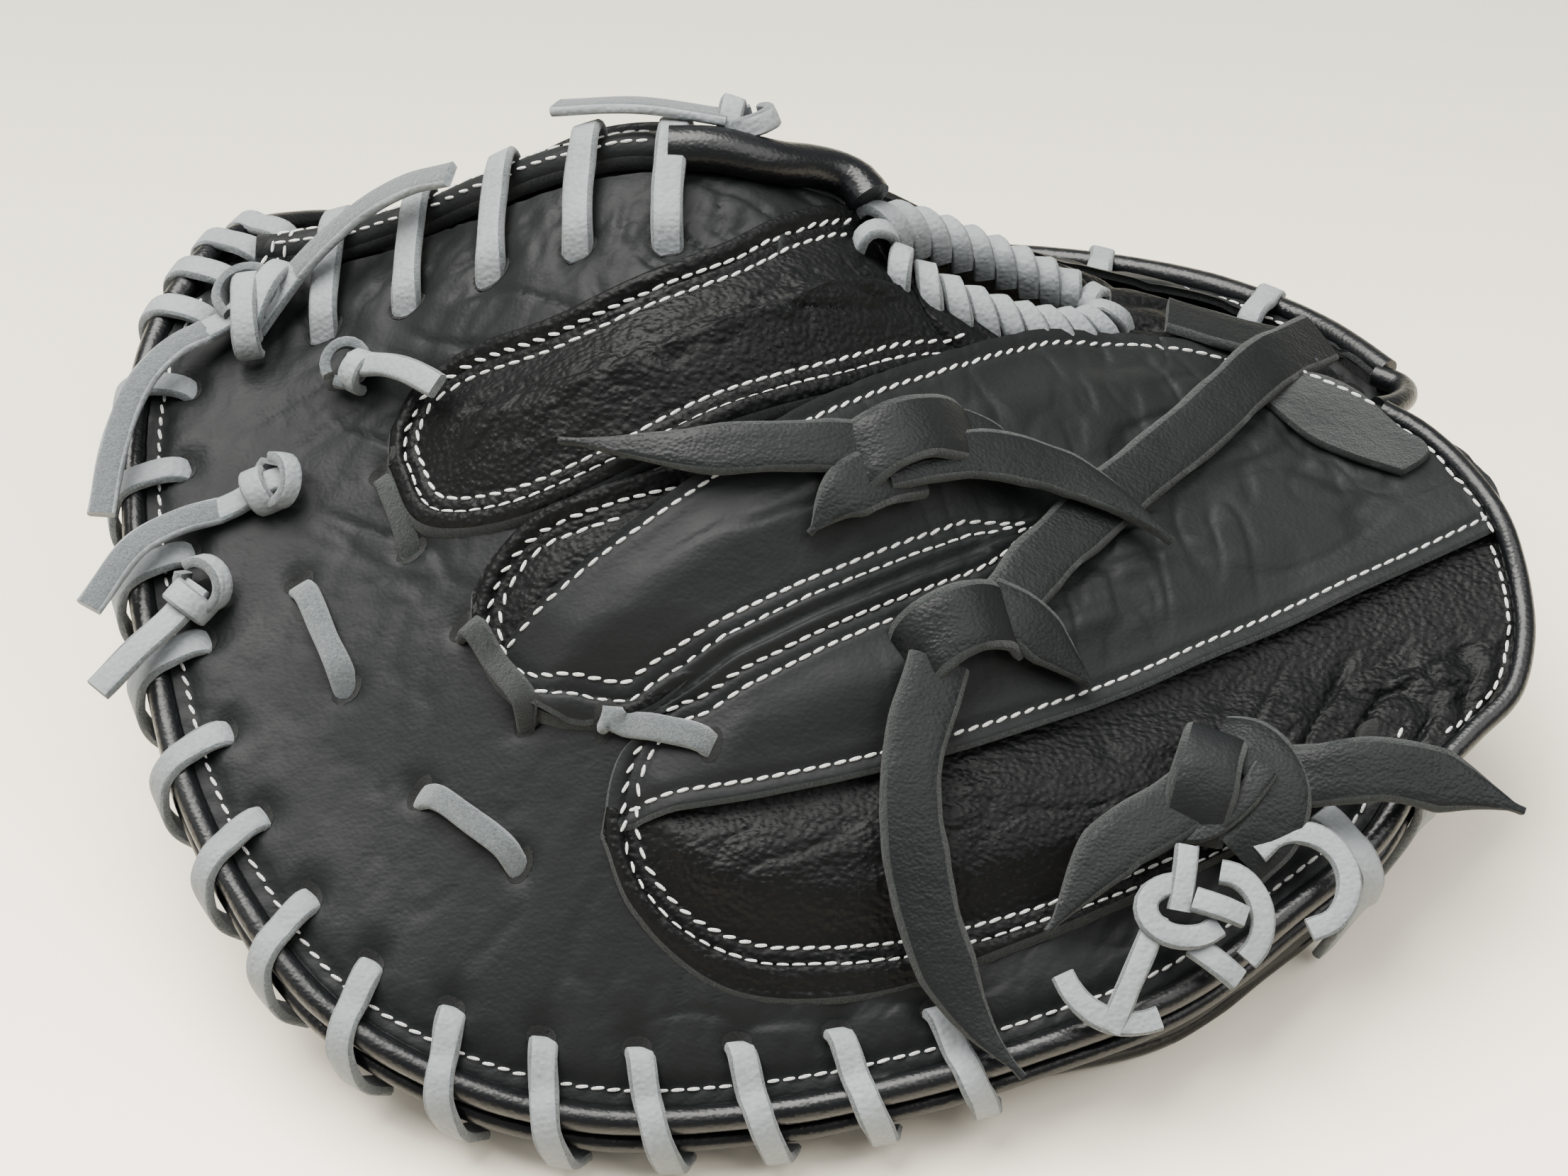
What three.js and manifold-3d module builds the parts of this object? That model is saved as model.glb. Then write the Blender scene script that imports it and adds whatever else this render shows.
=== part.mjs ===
// Baseball catcher's mitt, lying palm down on its padded rim, half closed like a tent.
// Millimetres, +Z up. -X is the fingertip and web end, +X the wrist, -Y the little-finger side,
// +Y the thumb side. The origin is the centre of the bottom of the mitt without its loose laces.
import * as THREE from 'three';
import { mergeVertices } from 'three/addons/utils/BufferGeometryUtils.js';
import Module from 'manifold-3d';

const wasm = await Module();
wasm.setup();

// ---- Driving dimensions ----
const CENTRE = [6.55, 8.35, 1.4];      // design point that becomes the origin
const REST_Z = CENTRE[2];             // level that the two padded edges rest on
const APEX_X = -22;                   // highest point of the ridge
const RIDGE_RISE = 53;                // rise of the apex above the ends of the ridge
const RIM_LEVEL = 20;                 // back leather at the two long edges
const NEAR_EDGE_Y = -112;
const FAR_EDGE_Y = 126.5;
const RIM_DEPTH = 22;                 // back leather to palm leather at the rim
const HEEL_DEPTH = 13;                // extra depth of the heel pad
const THUMB_DEPTH = 3.5;              // extra depth of the thumb edge
const LEATHER = 2.4;                  // thickness of the back panels
const PALM_LEATHER = 2.6;
const GAP = 0.3;
const MIN_PAD = 7;
const CRESCENT_TOP = -2.6;            // this and the next three are relative to the back surface
const STALL_BOTTOM = -1.5;
const STALL_TOP = 0.7;
const OVERLAY_TOP = 4.8;
const CAVITY_DEPTH = 28;              // room for the hand under the back panels
const WELT_R = 2.8;
const PALM_WELT_R = 3.2;
const PALM_INSET = 9;                 // palm leather and padding stop inside the welt
const PALM_WELT_INSET = -4;           // the palm edge is drawn in under the back edge
const LACE_W = 6;
const LACE_T = 2.2;
const STRAP_W = 13;
const STRAP_T = 2.6;
const LACE_PITCH = 20.6;

const clamp = (v, a, b) => Math.min(b, Math.max(a, v));
const lerp = (a, b, t) => a + (b - a) * t;

function smooth(v) {
  const t = clamp(v, 0, 1);
  return t * t * (3 - 2 * t);
}

// ---- Shape of the mitt: a ridge along X with a slope on each side ----
const ridgeY = (x) => 57 - 0.14 * (x + 15);

function ridgeZ(x) {
  const spread = x < APEX_X ? 62 : 75;
  return 64 - 0.06 * x + RIDGE_RISE * Math.exp(-(((x - APEX_X) / spread) ** 2));
}

function sideT(x, y) {
  const r = ridgeY(x);
  return y < r ? (r - y) / (r - NEAR_EDGE_Y) : (y - r) / (FAR_EDGE_Y - r);
}

function back(x, y) {
  const power = y < ridgeY(x) ? 1.6 : 2;
  return RIM_LEVEL + (ridgeZ(x) - RIM_LEVEL) * (1 - Math.abs(sideT(x, y)) ** power);
}

function spline(points, closed = false) {
  const curve = new THREE.CatmullRomCurve3(
    points.map(([x, y, z = 0]) => new THREE.Vector3(x, y, z)), closed, 'centripetal');
  curve.arcLengthDivisions = 400;
  return (t) => curve.getPointAt(clamp(t, 0, 1));
}

// Plan outline of the rim, from the heel round the little-finger side to the web corner.
const NEAR_RIM = spline([[130, -36], [118, -55], [101, -69], [79, -85], [54, -95], [26, -103],
  [-5, -108], [-40, -108.5], [-67, -102], [-91, -88.5], [-108, -68], [-120, -46], [-127, -24],
  [-132, -4], [-135, 16], [-136, 38], [-133, 58], [-126, 74]]);
// Plan outline from the heel round the thumb side to the web corner.
const FAR_RIM = spline([[133, 60], [116, 82], [88, 103], [48, 118], [0, 125], [-42, 124],
  [-82, 115], [-108, 100], [-120, 86]]);

const rimPoints = [];
for (let i = 0; i <= 80; i += 1) {
  rimPoints.push(NEAR_RIM(i / 80), FAR_RIM(i / 80));
}

function rimDistance(x, y) {
  return Math.min(...rimPoints.map((p) => Math.hypot(p.x - x, p.y - y)));
}

function rimDepth(x, y) {
  return RIM_DEPTH + HEEL_DEPTH * smooth((x - 40) / 60) + THUMB_DEPTH * smooth((y - 70) / 30);
}

// Palm leather: a padded rim that opens into a deep pocket.
function palm(x, y) {
  const inner = smooth(rimDistance(x, y) / 60);
  const pocketRidge = clamp(50 - 0.22 * (x - APEX_X), 16, 56);
  const pocket = pocketRidge * (1 - Math.abs(sideT(x, y)) ** 1.6);
  const rimLevel = back(x, y) - rimDepth(x, y);
  return lerp(rimLevel, Math.min(pocket, rimLevel), inner);
}

// 1 where the hand goes in, 0 outside.
function cavity(x, y) {
  const nearWall = lerp(-52, -38, smooth(x / 128));
  return smooth((x + 16) / 26) * smooth((y - nearWall) / 12);
}

// ---- Geometry helpers ----
function solidFrom(positions, faces) {
  let volume = 0;
  const at = (i) => new THREE.Vector3(...positions.slice(3 * i, 3 * i + 3));
  faces.forEach(([a, b, c]) => {
    volume += at(a).dot(at(b).cross(at(c)));
  });
  const index = volume > 0 ? faces : faces.map(([a, b, c]) => [a, c, b]);
  const geometry = new THREE.BufferGeometry();
  geometry.setAttribute('position', new THREE.Float32BufferAttribute(positions, 3));
  geometry.setIndex(index.flat());
  geometry.computeVertexNormals();
  return geometry;
}

// A leather panel: place(u, v) gives the plan point, top and bottom give the two faces.
function panel(nu, nv, place, top, bottom, ring = false) {
  const positions = [];
  const columns = ring ? nu : nu + 1;
  [top, bottom].forEach((level) => {
    for (let i = 0; i < columns; i += 1) {
      for (let j = 0; j <= nv; j += 1) {
        const [x, y] = place(i / nu, j / nv);
        positions.push(x, y, level(x, y, i / nu, j / nv));
      }
    }
  });
  const id = (side, i, j) => side * columns * (nv + 1) + (i % columns) * (nv + 1) + j;
  const faces = [];
  const quad = (a, b, c, d) => faces.push([a, b, c], [a, c, d]);
  for (let i = 0; i < nu; i += 1) {
    for (let j = 0; j < nv; j += 1) {
      quad(id(0, i, j), id(0, i + 1, j), id(0, i + 1, j + 1), id(0, i, j + 1));
      quad(id(1, i, j), id(1, i, j + 1), id(1, i + 1, j + 1), id(1, i + 1, j));
    }
    quad(id(0, i, 0), id(1, i, 0), id(1, i + 1, 0), id(0, i + 1, 0));
    quad(id(0, i, nv), id(0, i + 1, nv), id(1, i + 1, nv), id(1, i, nv));
  }
  if (!ring) {
    for (let j = 0; j < nv; j += 1) {
      quad(id(0, 0, j), id(0, 0, j + 1), id(1, 0, j + 1), id(1, 0, j));
      quad(id(0, nu, j), id(1, nu, j), id(1, nu, j + 1), id(0, nu, j + 1));
    }
  }
  return solidFrom(positions, faces);
}

// A round welt or piping along a path.
function tube(points, radius, steps, sides = 6) {
  const path = new THREE.CatmullRomCurve3(points.map((p) => new THREE.Vector3(...p)), false,
    'centripetal');
  const section = new THREE.Shape();
  for (let i = 0; i < sides; i += 1) {
    const a = (2 * Math.PI * i) / sides;
    const x = radius * Math.cos(a);
    const y = radius * Math.sin(a);
    if (i === 0) {
      section.moveTo(x, y);
    } else {
      section.lineTo(x, y);
    }
  }
  return new THREE.ExtrudeGeometry(section, { steps, extrudePath: path, bevelEnabled: false });
}

function toSolid(geometry) {
  const bare = geometry.clone();
  bare.deleteAttribute('normal');
  bare.deleteAttribute('uv');
  const merged = mergeVertices(bare);
  return new wasm.Manifold(new wasm.Mesh({
    numProp: 3,
    vertProperties: new Float32Array(merged.attributes.position.array),
    triVerts: new Uint32Array(merged.index.array),
  }));
}

// One solid from several that overlap.
function joined(geometries) {
  const mesh = geometries.map(toSolid).reduce((sum, solid) => sum.add(solid)).getMesh();
  const geometry = new THREE.BufferGeometry();
  geometry.setAttribute('position', new THREE.Float32BufferAttribute(mesh.vertProperties, 3));
  geometry.setIndex([...mesh.triVerts]);
  geometry.computeVertexNormals();
  return geometry;
}

// A flat lace or strap, whose thin direction follows the given normal.
function ribbon(points, width, thickness, steps, normalAt) {
  const path = new THREE.CatmullRomCurve3(points.map((p) => new THREE.Vector3(...p)), false,
    'centripetal');
  const w = width / 2;
  const t = thickness / 2;
  const section = [[w, 0], [w * 0.8, t], [0, t], [-w * 0.8, t],
    [-w, 0], [-w * 0.8, -t], [0, -t], [w * 0.8, -t]];
  const positions = [];
  for (let i = 0; i <= steps; i += 1) {
    const p = path.getPointAt(i / steps);
    const tangent = path.getTangentAt(i / steps);
    const side = new THREE.Vector3().crossVectors(tangent, normalAt(p, i / steps)).normalize();
    const up = new THREE.Vector3().crossVectors(side, tangent).normalize();
    section.forEach(([a, b]) => {
      const q = p.clone().addScaledVector(side, a).addScaledVector(up, b);
      positions.push(q.x, q.y, q.z);
    });
  }
  const faces = [];
  const n = section.length;
  for (let i = 0; i < steps; i += 1) {
    for (let j = 0; j < n; j += 1) {
      const a = i * n + j;
      const b = i * n + ((j + 1) % n);
      faces.push([a, b, b + n], [a, b + n, a + n]);
    }
  }
  for (let j = 1; j < n - 1; j += 1) {
    faces.push([0, j + 1, j], [steps * n, steps * n + j, steps * n + j + 1]);
  }
  return solidFrom(positions, faces);
}

function backNormal(p) {
  const step = 2;
  const dx = (back(p.x + step, p.y) - back(p.x - step, p.y)) / (2 * step);
  const dy = (back(p.x, p.y + step) - back(p.x, p.y - step)) / (2 * step);
  return new THREE.Vector3(-dx, -dy, 1).normalize();
}

const onBack = ([x, y, lift]) => [x, y, back(x, y) + lift];

// A lace lying on the back: points are plan x, plan y and height above the back surface.
const laceOnBack = (points, steps) => ribbon(points.map(onBack), LACE_W, LACE_T, steps, backNormal);
const strapOnBack = (points, steps) => ribbon(points.map(onBack), STRAP_W, STRAP_T, steps,
  backNormal);

// ---- Materials ----
const material = (color, roughness) => new THREE.MeshStandardMaterial({
  color, roughness, metalness: 0 });
const BLACK_SMOOTH = material(0x1d1f1f, 0.55);
const BLACK_GRAIN = material(0x17191a, 0.45);
const PIPING = material(0x101211, 0.3);
const GREY_LACE = material(0x8a8e90, 0.8);
const SUEDE = material(0x2c3230, 0.95);
const FELT = material(0x3a3a38, 0.95);

const mitt = new THREE.Group();
const design = new THREE.Group();
design.position.set(-CENTRE[0], -CENTRE[1], -CENTRE[2]);
mitt.add(design);

function add(name, geometry, mat) {
  const mesh = new THREE.Mesh(geometry, mat);
  mesh.name = name;
  design.add(mesh);
}

const rise = (offset) => (x, y) => back(x, y) + offset;
const between = (lower, upper) => (u, v) => {
  const a = lower(u);
  const b = upper(u);
  return [lerp(a.x, b.x, v), lerp(a.y, b.y, v)];
};

function rimFrame(curve, t) {
  const p = curve(t);
  const q = curve(t + 0.004);
  const o = curve(t - 0.004);
  const along = new THREE.Vector3(q.x - o.x, q.y - o.y, 0).normalize();
  const out = new THREE.Vector3(-along.y, along.x, 0);
  if (out.x * p.x + out.y * (p.y - 10) < 0) {
    out.negate();
  }
  return { p, along, out };
}

// ---- Finger side: palm, padding and lining ----
const FOLD_NEAR = (u) => {
  const x = lerp(130, -119, u);
  return { x, y: ridgeY(x) - 2 };
};
function nearPlace(u, v) {
  const { p, out } = rimFrame(NEAR_RIM, lerp(0.004, 0.94, u));
  const rim = p.clone().addScaledVector(out, -PALM_INSET);
  const fold = FOLD_NEAR(u);
  const bulge = 14 * Math.sin(Math.PI * Math.min(1, v / 0.8)) * (1 - u) ** 8;
  return [lerp(fold.x, rim.x, v) + bulge, lerp(fold.y, rim.y, v)];
}
const padTop = (x, y) => Math.max(back(x, y) - 7 - CAVITY_DEPTH * cavity(x, y),
  palm(x, y) + PALM_LEATHER + MIN_PAD);
add('palm_leather_fingers', panel(20, 6, nearPlace,
  (x, y) => palm(x, y) + PALM_LEATHER, palm), BLACK_SMOOTH);
// The felt pad is in two pieces, which meet under the knuckles. The lining lies on the heel one.
const HEEL_PAD_END = 0.499;
[['palm_pad_heel', 0, HEEL_PAD_END], ['palm_pad_fingers', 0.501, 1]].forEach(([name, from, to]) => {
  add(name, panel(10, 6, (u, v) => nearPlace(lerp(from, to, u), v), padTop,
    (x, y) => palm(x, y) + PALM_LEATHER + GAP), FELT);
});
add('hand_lining', panel(10, 4, (u, v) => nearPlace(u * HEEL_PAD_END, (v * 4) / 6),
  (x, y) => padTop(x, y) + GAP + 1.6, (x, y) => padTop(x, y) + GAP), SUEDE);

// ---- Finger side: back panels ----
const crescentOuter = spline([[130, -36], [118, -55], [101, -69], [79, -85], [54, -95],
  [26, -103], [-5, -108], [-40, -108.5], [-67, -102], [-91, -88.5], [-108, -68], [-120, -46],
  [-127, -24], [-132, -4], [-135, 16], [-136, 38], [-132, 60], [-122, 70], [-105, 68],
  [-80, 64], [-40, 58], [-12, 55]]);
const crescentInner = spline([[118, -30], [90, -48], [48, -68], [14, -78], [-8, -76],
  [-22, -64], [-36, -40], [-50, -22], [-62, -4], [-68, 8], [-66, 18], [-48, 22], [-26, 26],
  [-8, 38]]);
add('back_crescent', panel(38, 2, between(crescentInner, crescentOuter),
  rise(CRESCENT_TOP), rise(CRESCENT_TOP - LEATHER)), BLACK_SMOOTH);

// A finger stall: padded up between its two edges, flat where the overlay covers it.
function stall(lower, upper, puff, flatFrom, nu) {
  const top = (x, y, u, v) => {
    const along = smooth(u / 0.25) * (1 - smooth((u - flatFrom) / 0.2));
    return back(x, y) + STALL_TOP + puff * along * Math.sin(Math.PI * v);
  };
  return panel(nu, 4, between(lower, upper), top, rise(STALL_BOTTOM));
}
const indexLower = spline([[-82, 9], [-75, -5], [-58, -11], [-36, -9], [-10, 2], [12, 13],
  [32, 26]]);
const indexUpper = spline([[-82, 17], [-77, 25], [-66, 28], [-45, 27], [-15, 37], [0, 49],
  [13, 59]]);
add('index_stall', stall(indexLower, indexUpper, 6, 0.72, 14), BLACK_GRAIN);
const middleLower = spline([[-63, -30], [-57, -41], [-45, -49], [-30, -50], [-15, -42.5],
  [13, -27.5], [43, -9], [56, -3]]);
const middleUpper = spline([[-63, -22], [-58, -16], [-46, -13], [-30, -12], [-15, -6],
  [10, 8], [30, 22]]);
add('middle_stall', stall(middleLower, middleUpper, 1, 0.15, 14), BLACK_GRAIN);
const littleLower = spline([[-36, -68], [-30, -80], [-12, -90], [15, -92], [48, -82],
  [86, -58], [120, -30]]);
const littleUpper = spline([[-34, -60], [-28, -52.5], [-15, -45.5], [13, -30.5], [43, -12],
  [60, -6], [100, 4], [148, 10]]);
function littleTop(x, y, u, v) {
  const bulge = 5 * smooth(u / 0.2) * (1 - smooth((u - 0.6) / 0.4));
  return back(x, y) + STALL_TOP + bulge * Math.max(0, Math.sin(Math.PI * v * 1.9));
}
add('little_stall', panel(14, 6, (u, v) => {
  const [x, y] = between(littleLower, littleUpper)(u, v);
  return [x + 6 * Math.sin(Math.PI * v) * u ** 8, y];
}, (x, y, u, v) => (v < 0.52 ? littleTop(x, y, u, v) : back(x, y) + STALL_TOP),
rise(STALL_BOTTOM)), BLACK_GRAIN);

const overlayLower = spline([[-34, -66], [-15, -66], [13, -59], [38, -49], [72, -33],
  [103, -15], [134, 3], [148, 11]]);
const overlayUpper = spline([[-53, -34], [-43, -27], [-22, -16], [-2, -4], [28, 20],
  [60, 43], [80, 52], [100, 52], [118, 45], [131, 37]]);
function overlayTop(x, y, u, v) {
  const knuckles = 3 * Math.sin(Math.PI * v) * smooth(u / 0.15) * (1 - smooth((u - 0.5) / 0.4));
  return back(x, y) + OVERLAY_TOP + knuckles;
}
function overlayBottom(x, y, u, v) {
  return overlayTop(x, y, u, v) - LEATHER;
}
add('back_overlay', panel(16, 6, (u, v) => {
  const [x, y] = between(overlayLower, overlayUpper)(u, v);
  return [x + 5 * Math.sin(Math.PI * v) * u ** 8, y];
}, overlayTop, overlayBottom), BLACK_SMOOTH);

// Panel behind the index knuckle, with the laced finger hole through it.
const HOLE = { x: 45, y: 58, a: 24, b: 10, tilt: 0.2 };
const holeRim = (u, grow = 0) => {
  const t = 2 * Math.PI * u;
  const a = (HOLE.a + grow) * Math.cos(t);
  const b = (HOLE.b + grow) * Math.sin(t);
  return {
    x: HOLE.x + a * Math.cos(HOLE.tilt) - b * Math.sin(HOLE.tilt),
    y: HOLE.y + a * Math.sin(HOLE.tilt) + b * Math.cos(HOLE.tilt),
  };
};
const handBackEdge = spline([[129, 50], [110, 73], [80, 85], [50, 86], [30, 79], [18, 64],
  [24, 47], [36, 31], [58, 36], [82, 47], [105, 48], [124, 40]], true);
add('index_knuckle_panel', panel(24, 2, (u, v) => {
  const inner = holeRim(u);
  const outer = handBackEdge(u);
  return [lerp(inner.x, outer.x, v), lerp(inner.y, outer.y, v)];
}, rise(STALL_TOP), rise(STALL_BOTTOM), true), BLACK_GRAIN);
const whipPath = [];
for (let i = 0; i <= 22; i += 1) {
  const p = holeRim(i / 22.6, 3);
  whipPath.push(onBack([p.x, p.y, STALL_TOP + 3]));
}
add('finger_hole_lacing', tube(whipPath, 2, 24), GREY_LACE);

// Rolled wrist binding along the open end of the back panels.
add('wrist_binding', tube([[130, 42, 3], [138, 36, 3], [146, 26, 3], [152.5, 13, 3],
  [155.5, -2, 0], [155, -14, 0], [151, -26, 0], [143, -34, 0], [137, -40, 0]].map(onBack), 2.4,
18), PIPING);

// Raised band along the ridge, where the finger side meets the web.
const bandNear = (u) => {
  const x = lerp(-116, -8, u);
  return { x, y: ridgeY(x) + 2.5 };
};
const bandFar = (u) => {
  const x = lerp(-116, -8, u);
  return { x, y: ridgeY(x) + 11 };
};
add('ridge_band', panel(14, 3, between(bandNear, bandFar),
  (x, y, u, v) => back(x, y) - 1 + 3 * Math.sin(Math.PI * v), rise(-5)), BLACK_SMOOTH);

// Rolled leather that ends the ridge above the finger hole.
add('ridge_roll', tube([[-5.5, 59.5, 2.4], [0, 61, 2.6], [5, 64, 3.2], [10, 65.5, 3.8],
  [14, 64.5, 4.4], [16, 61.5, 4.8]].map(onBack), 4.2, 10, 8), PIPING);

// ---- Thumb side ----
const THUMB_FOLD = spline([[134, 50], [100, 53], [60, 59], [20, 64], [-20, 69], [-42, 73],
  [-60, 96], [-90, 103], [-106, 96]]);
function farPlace(u, v) {
  const { p, out } = rimFrame(FAR_RIM, lerp(0.004, 0.95, u));
  const rim = p.clone().addScaledVector(out, -PALM_INSET);
  const fold = THUMB_FOLD(u);
  return [lerp(fold.x, rim.x, v), lerp(fold.y, rim.y, v)];
}
add('palm_leather_thumb', panel(14, 4, farPlace,
  (x, y) => palm(x, y) + PALM_LEATHER, palm), BLACK_SMOOTH);
const thumbPadTop = (x, y) => Math.max(palm(x, y) + PALM_LEATHER + MIN_PAD,
  back(x, y) - 10 - 20 * smooth((x - 10) / 30) * (1 - smooth((y - 78) / 12)));
add('palm_pad_thumb', panel(14, 4, farPlace, thumbPadTop,
  (x, y) => palm(x, y) + PALM_LEATHER + GAP), FELT);
const thumbBackInner = spline([[136, 60], [114, 79], [82, 92], [48, 93], [24, 84], [4, 76],
  [-20, 74], [-42, 76], [-60, 97], [-90, 104], [-106, 97]]);
add('thumb_back', panel(20, 3, (u, v) => {
  const rim = FAR_RIM(u * 0.95);
  const inner = thumbBackInner(u);
  return [lerp(inner.x, rim.x, v), lerp(inner.y, rim.y, v)];
}, rise(CRESCENT_TOP), rise(CRESCENT_TOP - LEATHER)), BLACK_SMOOTH);
const thumbLower = spline([[-76, 106], [-66, 102], [-40, 84], [-10, 80], [10, 84], [40, 96]]);
const thumbUpper = spline([[-72, 108], [-62, 110], [-40, 112], [-10, 113], [20, 110],
  [50, 103]]);
add('thumb_stall', stall(thumbLower, thumbUpper, 5, 0.8, 12), BLACK_GRAIN);

// ---- Web between the thumb and the fingers ----
const webNear = spline([[-122, 85], [-100, 82.5], [-72, 78.5], [-50, 75.5]]);
const webFar = spline([[-115, 91], [-98, 93], [-76, 93], [-60, 87]]);
add('web_panel', panel(10, 4, between(webNear, webFar), rise(-3), rise(-6.5)), BLACK_GRAIN);

// ---- Welts ----
function weltPath(curve, offset, drop, count, end, start = 0.004) {
  const dropAt = typeof drop === 'function' ? drop : () => drop;
  const points = [];
  for (let i = 0; i <= count; i += 1) {
    const { p, out } = rimFrame(curve, lerp(start, end, i / count));
    points.push([p.x + out.x * offset, p.y + out.y * offset, back(p.x, p.y) - dropAt(p.x, p.y)]);
  }
  return points;
}

// Flattens whatever would reach below the level that the mitt rests on.
function rested(geometry) {
  const position = geometry.attributes.position;
  for (let i = 0; i < position.count; i += 1) {
    position.setZ(i, Math.max(position.getZ(i), REST_Z));
  }
  return geometry;
}
const sides = [['fingers', NEAR_RIM, 36, 0.99], ['thumb', FAR_RIM, 22, 0.97]];
sides.forEach(([name, curve, steps, end]) => {
  add(`back_welt_${name}`, tube(weltPath(curve, WELT_R + GAP, 3.6, steps, end), WELT_R, steps),
    PIPING);
  add(`palm_welt_${name}`, rested(tube(weltPath(curve, PALM_WELT_INSET,
    (x, y) => rimDepth(x, y) - 2, steps, end), PALM_WELT_R, steps)), PIPING);
});

// ---- Perimeter lacing: each loop leaves a hole, crosses both welts and slants to the heel ----
function rimLoop(curve, t, slant, lift = 0) {
  const { p, along, out } = rimFrame(curve, t);
  const shape = [[-8.5, 0.4, 0], [-3, 0.8, 0.15], [2.6, 2, 0.3], [7.8, -2, 0.5],
    [6.8, -11, 0.8], [1.2, 3 - rimDepth(p.x, p.y), 1]];
  const points = shape.map(([o, dz, s]) => {
    const x = p.x + out.x * o + along.x * slant * s;
    const y = p.y + out.y * o + along.y * slant * s;
    const level = (o < 0 ? back(x, y) : back(x - out.x * o, y - out.y * o)) + dz + lift;
    return [x, y, Math.max(level, REST_Z + LACE_T)];
  });
  return ribbon(points, LACE_W, LACE_T, 6, (q, s) => new THREE.Vector3(
    out.x * s, out.y * s, 1.05 - s));
}
// The run of the lace that lies hidden between the two welts.
const laceRun = (curve, from, to, steps) => tube(
  weltPath(curve, 4, 12, steps, to, from), 2.8, steps);
const NEAR_LENGTH = 424;
const nearSlant = (t) => {
  if (t < 0.1) {
    return 5;
  }
  return t < 0.88 ? -9 : -2;
};
const nearLoops = [0.012, 0.06];
for (let i = 0; i < 15; i += 1) {
  nearLoops.push(0.286 + (i * LACE_PITCH) / NEAR_LENGTH);
}
add('rim_lace_fingers', joined([laceRun(NEAR_RIM, 0.006, 0.975, 32),
  ...nearLoops.map((t) => rimLoop(NEAR_RIM, t, nearSlant(t)))]), GREY_LACE);
const farLoops = [0, 1, 2, 3, 4, 5].map((i) => 0.12 + i * 0.145);
add('rim_lace_thumb', joined([laceRun(FAR_RIM, 0.1, 0.87, 16),
  ...farLoops.map((t) => rimLoop(FAR_RIM, t, 9, 2))]), GREY_LACE);

// Loops over the ridge, from the crescent to the web side of the ridge band.
for (let i = 0; i < 5; i += 1) {
  const x = lerp(-99, -24, i / 4);
  const y = ridgeY(x);
  add(`ridge_lace_${i + 1}`, laceOnBack([[x, y - 19, -0.4], [x, y - 10, -0.3],
    [x, y - 2, 0.4], [x + 1, y + 6.5, 4.2], [x + 1.6, y + 12, 2.4], [x + 2, y + 14, -1]], 8),
  GREY_LACE);
}

// Two-ended ties that hold the padding to the crescent. The third one crosses the overlay.
const TIE_LIFT = [0.3, 0.3, 9];
[[[-101, -9], [-89, -34]], [[-73, -55], [-52, -71]], [[-35, -50], [-14, -56]]].forEach(
  ([from, to], i) => add(`crescent_tie_${i + 1}`, laceOnBack([[...from, TIE_LIFT[i]],
    [(from[0] + to[0]) / 2, (from[1] + to[1]) / 2, TIE_LIFT[i] + 0.6], [...to, TIE_LIFT[i]]], 4),
  GREY_LACE));

// ---- Knots ----
function knot(name, x, y, size, lift, turn, mat) {
  const geometry = new THREE.SphereGeometry(1, 10, 6);
  geometry.scale(...size.map((v) => v / 2));
  geometry.rotateZ(turn);
  const tilt = new THREE.Quaternion().setFromUnitVectors(
    new THREE.Vector3(0, 0, 1), backNormal({ x, y }));
  geometry.applyQuaternion(tilt);
  geometry.translate(...onBack([x, y, lift]));
  add(name, geometry, mat);
}
knot('knot_index', -91, 33, [16, 13, 9], 4.6, 0.4, GREY_LACE);
knot('knot_fingertip', -108, 10, [17, 13, 9], 4.4, 0.2, GREY_LACE);
knot('knot_ring_tip', -122, -12, [14, 11, 8], 4.4, 1.2, GREY_LACE);
knot('knot_web', -115, 53, [18, 14, 8], 5, 0.2, GREY_LACE);
knot('knot_ridge', -9, 69, [17, 11, 9], 8, 0, GREY_LACE);
knot('knot_heel', 77, -75, [18, 16, 10], 7, 0.8, GREY_LACE);
knot('strap_knot_upper', 29, 7, [22, 19, 11], 12.6, 0.3, BLACK_SMOOTH);
knot('strap_knot_middle', 40, -28, [22, 19, 11], 14.4, 0.2, BLACK_SMOOTH);
knot('strap_knot_lower', 92, -50, [26, 24, 11], 10.6, 0.8, BLACK_SMOOTH);

// ---- Straps and flap ----
add('wrist_flap', panel(8, 3, between(
  spline([[102, 40], [110, 32], [120, 26], [132, 23]]),
  spline([[106, 46], [115, 48], [124, 44], [134, 34]])), rise(8.2), rise(5.8)), SUEDE);
add('wrist_strap', strapOnBack([[118, 62, 8], [104, 46, 11.5], [88, 26, 10], [68, 4, 10],
  [53, -14, 10.8]], 14), BLACK_SMOOTH);
add('thumb_strap', strapOnBack([[84, 63, 4.6], [100, 60, 5], [112, 58.5, 5]], 6), BLACK_SMOOTH);

// ---- Free lace ends ----
add('lace_end_index', laceOnBack([[-82, 28, 9.5], [-76, 21, 9.5], [-70, 14, 8.5]], 6), GREY_LACE);
add('lace_end_fingertip', laceOnBack([[-118, 7, 1.4], [-126, 4, 3.5], [-135, -4, 7],
  [-143, -17, 7.5]], 8), GREY_LACE);
add('lace_end_ring_tip', laceOnBack([[-128, -20, 4], [-134, -26, 6.4], [-140, -34, 7]], 6),
  GREY_LACE);
add('lace_end_web', laceOnBack([[-124, 49, 4.5], [-130, 44, 6.5], [-137, 33, 8], [-141, 16, 8],
  [-142, 3, 8]], 14), GREY_LACE);
add('lace_end_web_upper', laceOnBack([[-105, 60, 6], [-99, 63, 9], [-90, 66.5, 11.5],
  [-80, 66.5, 13], [-70, 62, 14]], 10), GREY_LACE);
add('lace_end_ridge', laceOnBack([[-19, 67, 8], [-30, 69, 8.4], [-48, 75, 10.6]], 8), GREY_LACE);
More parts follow.
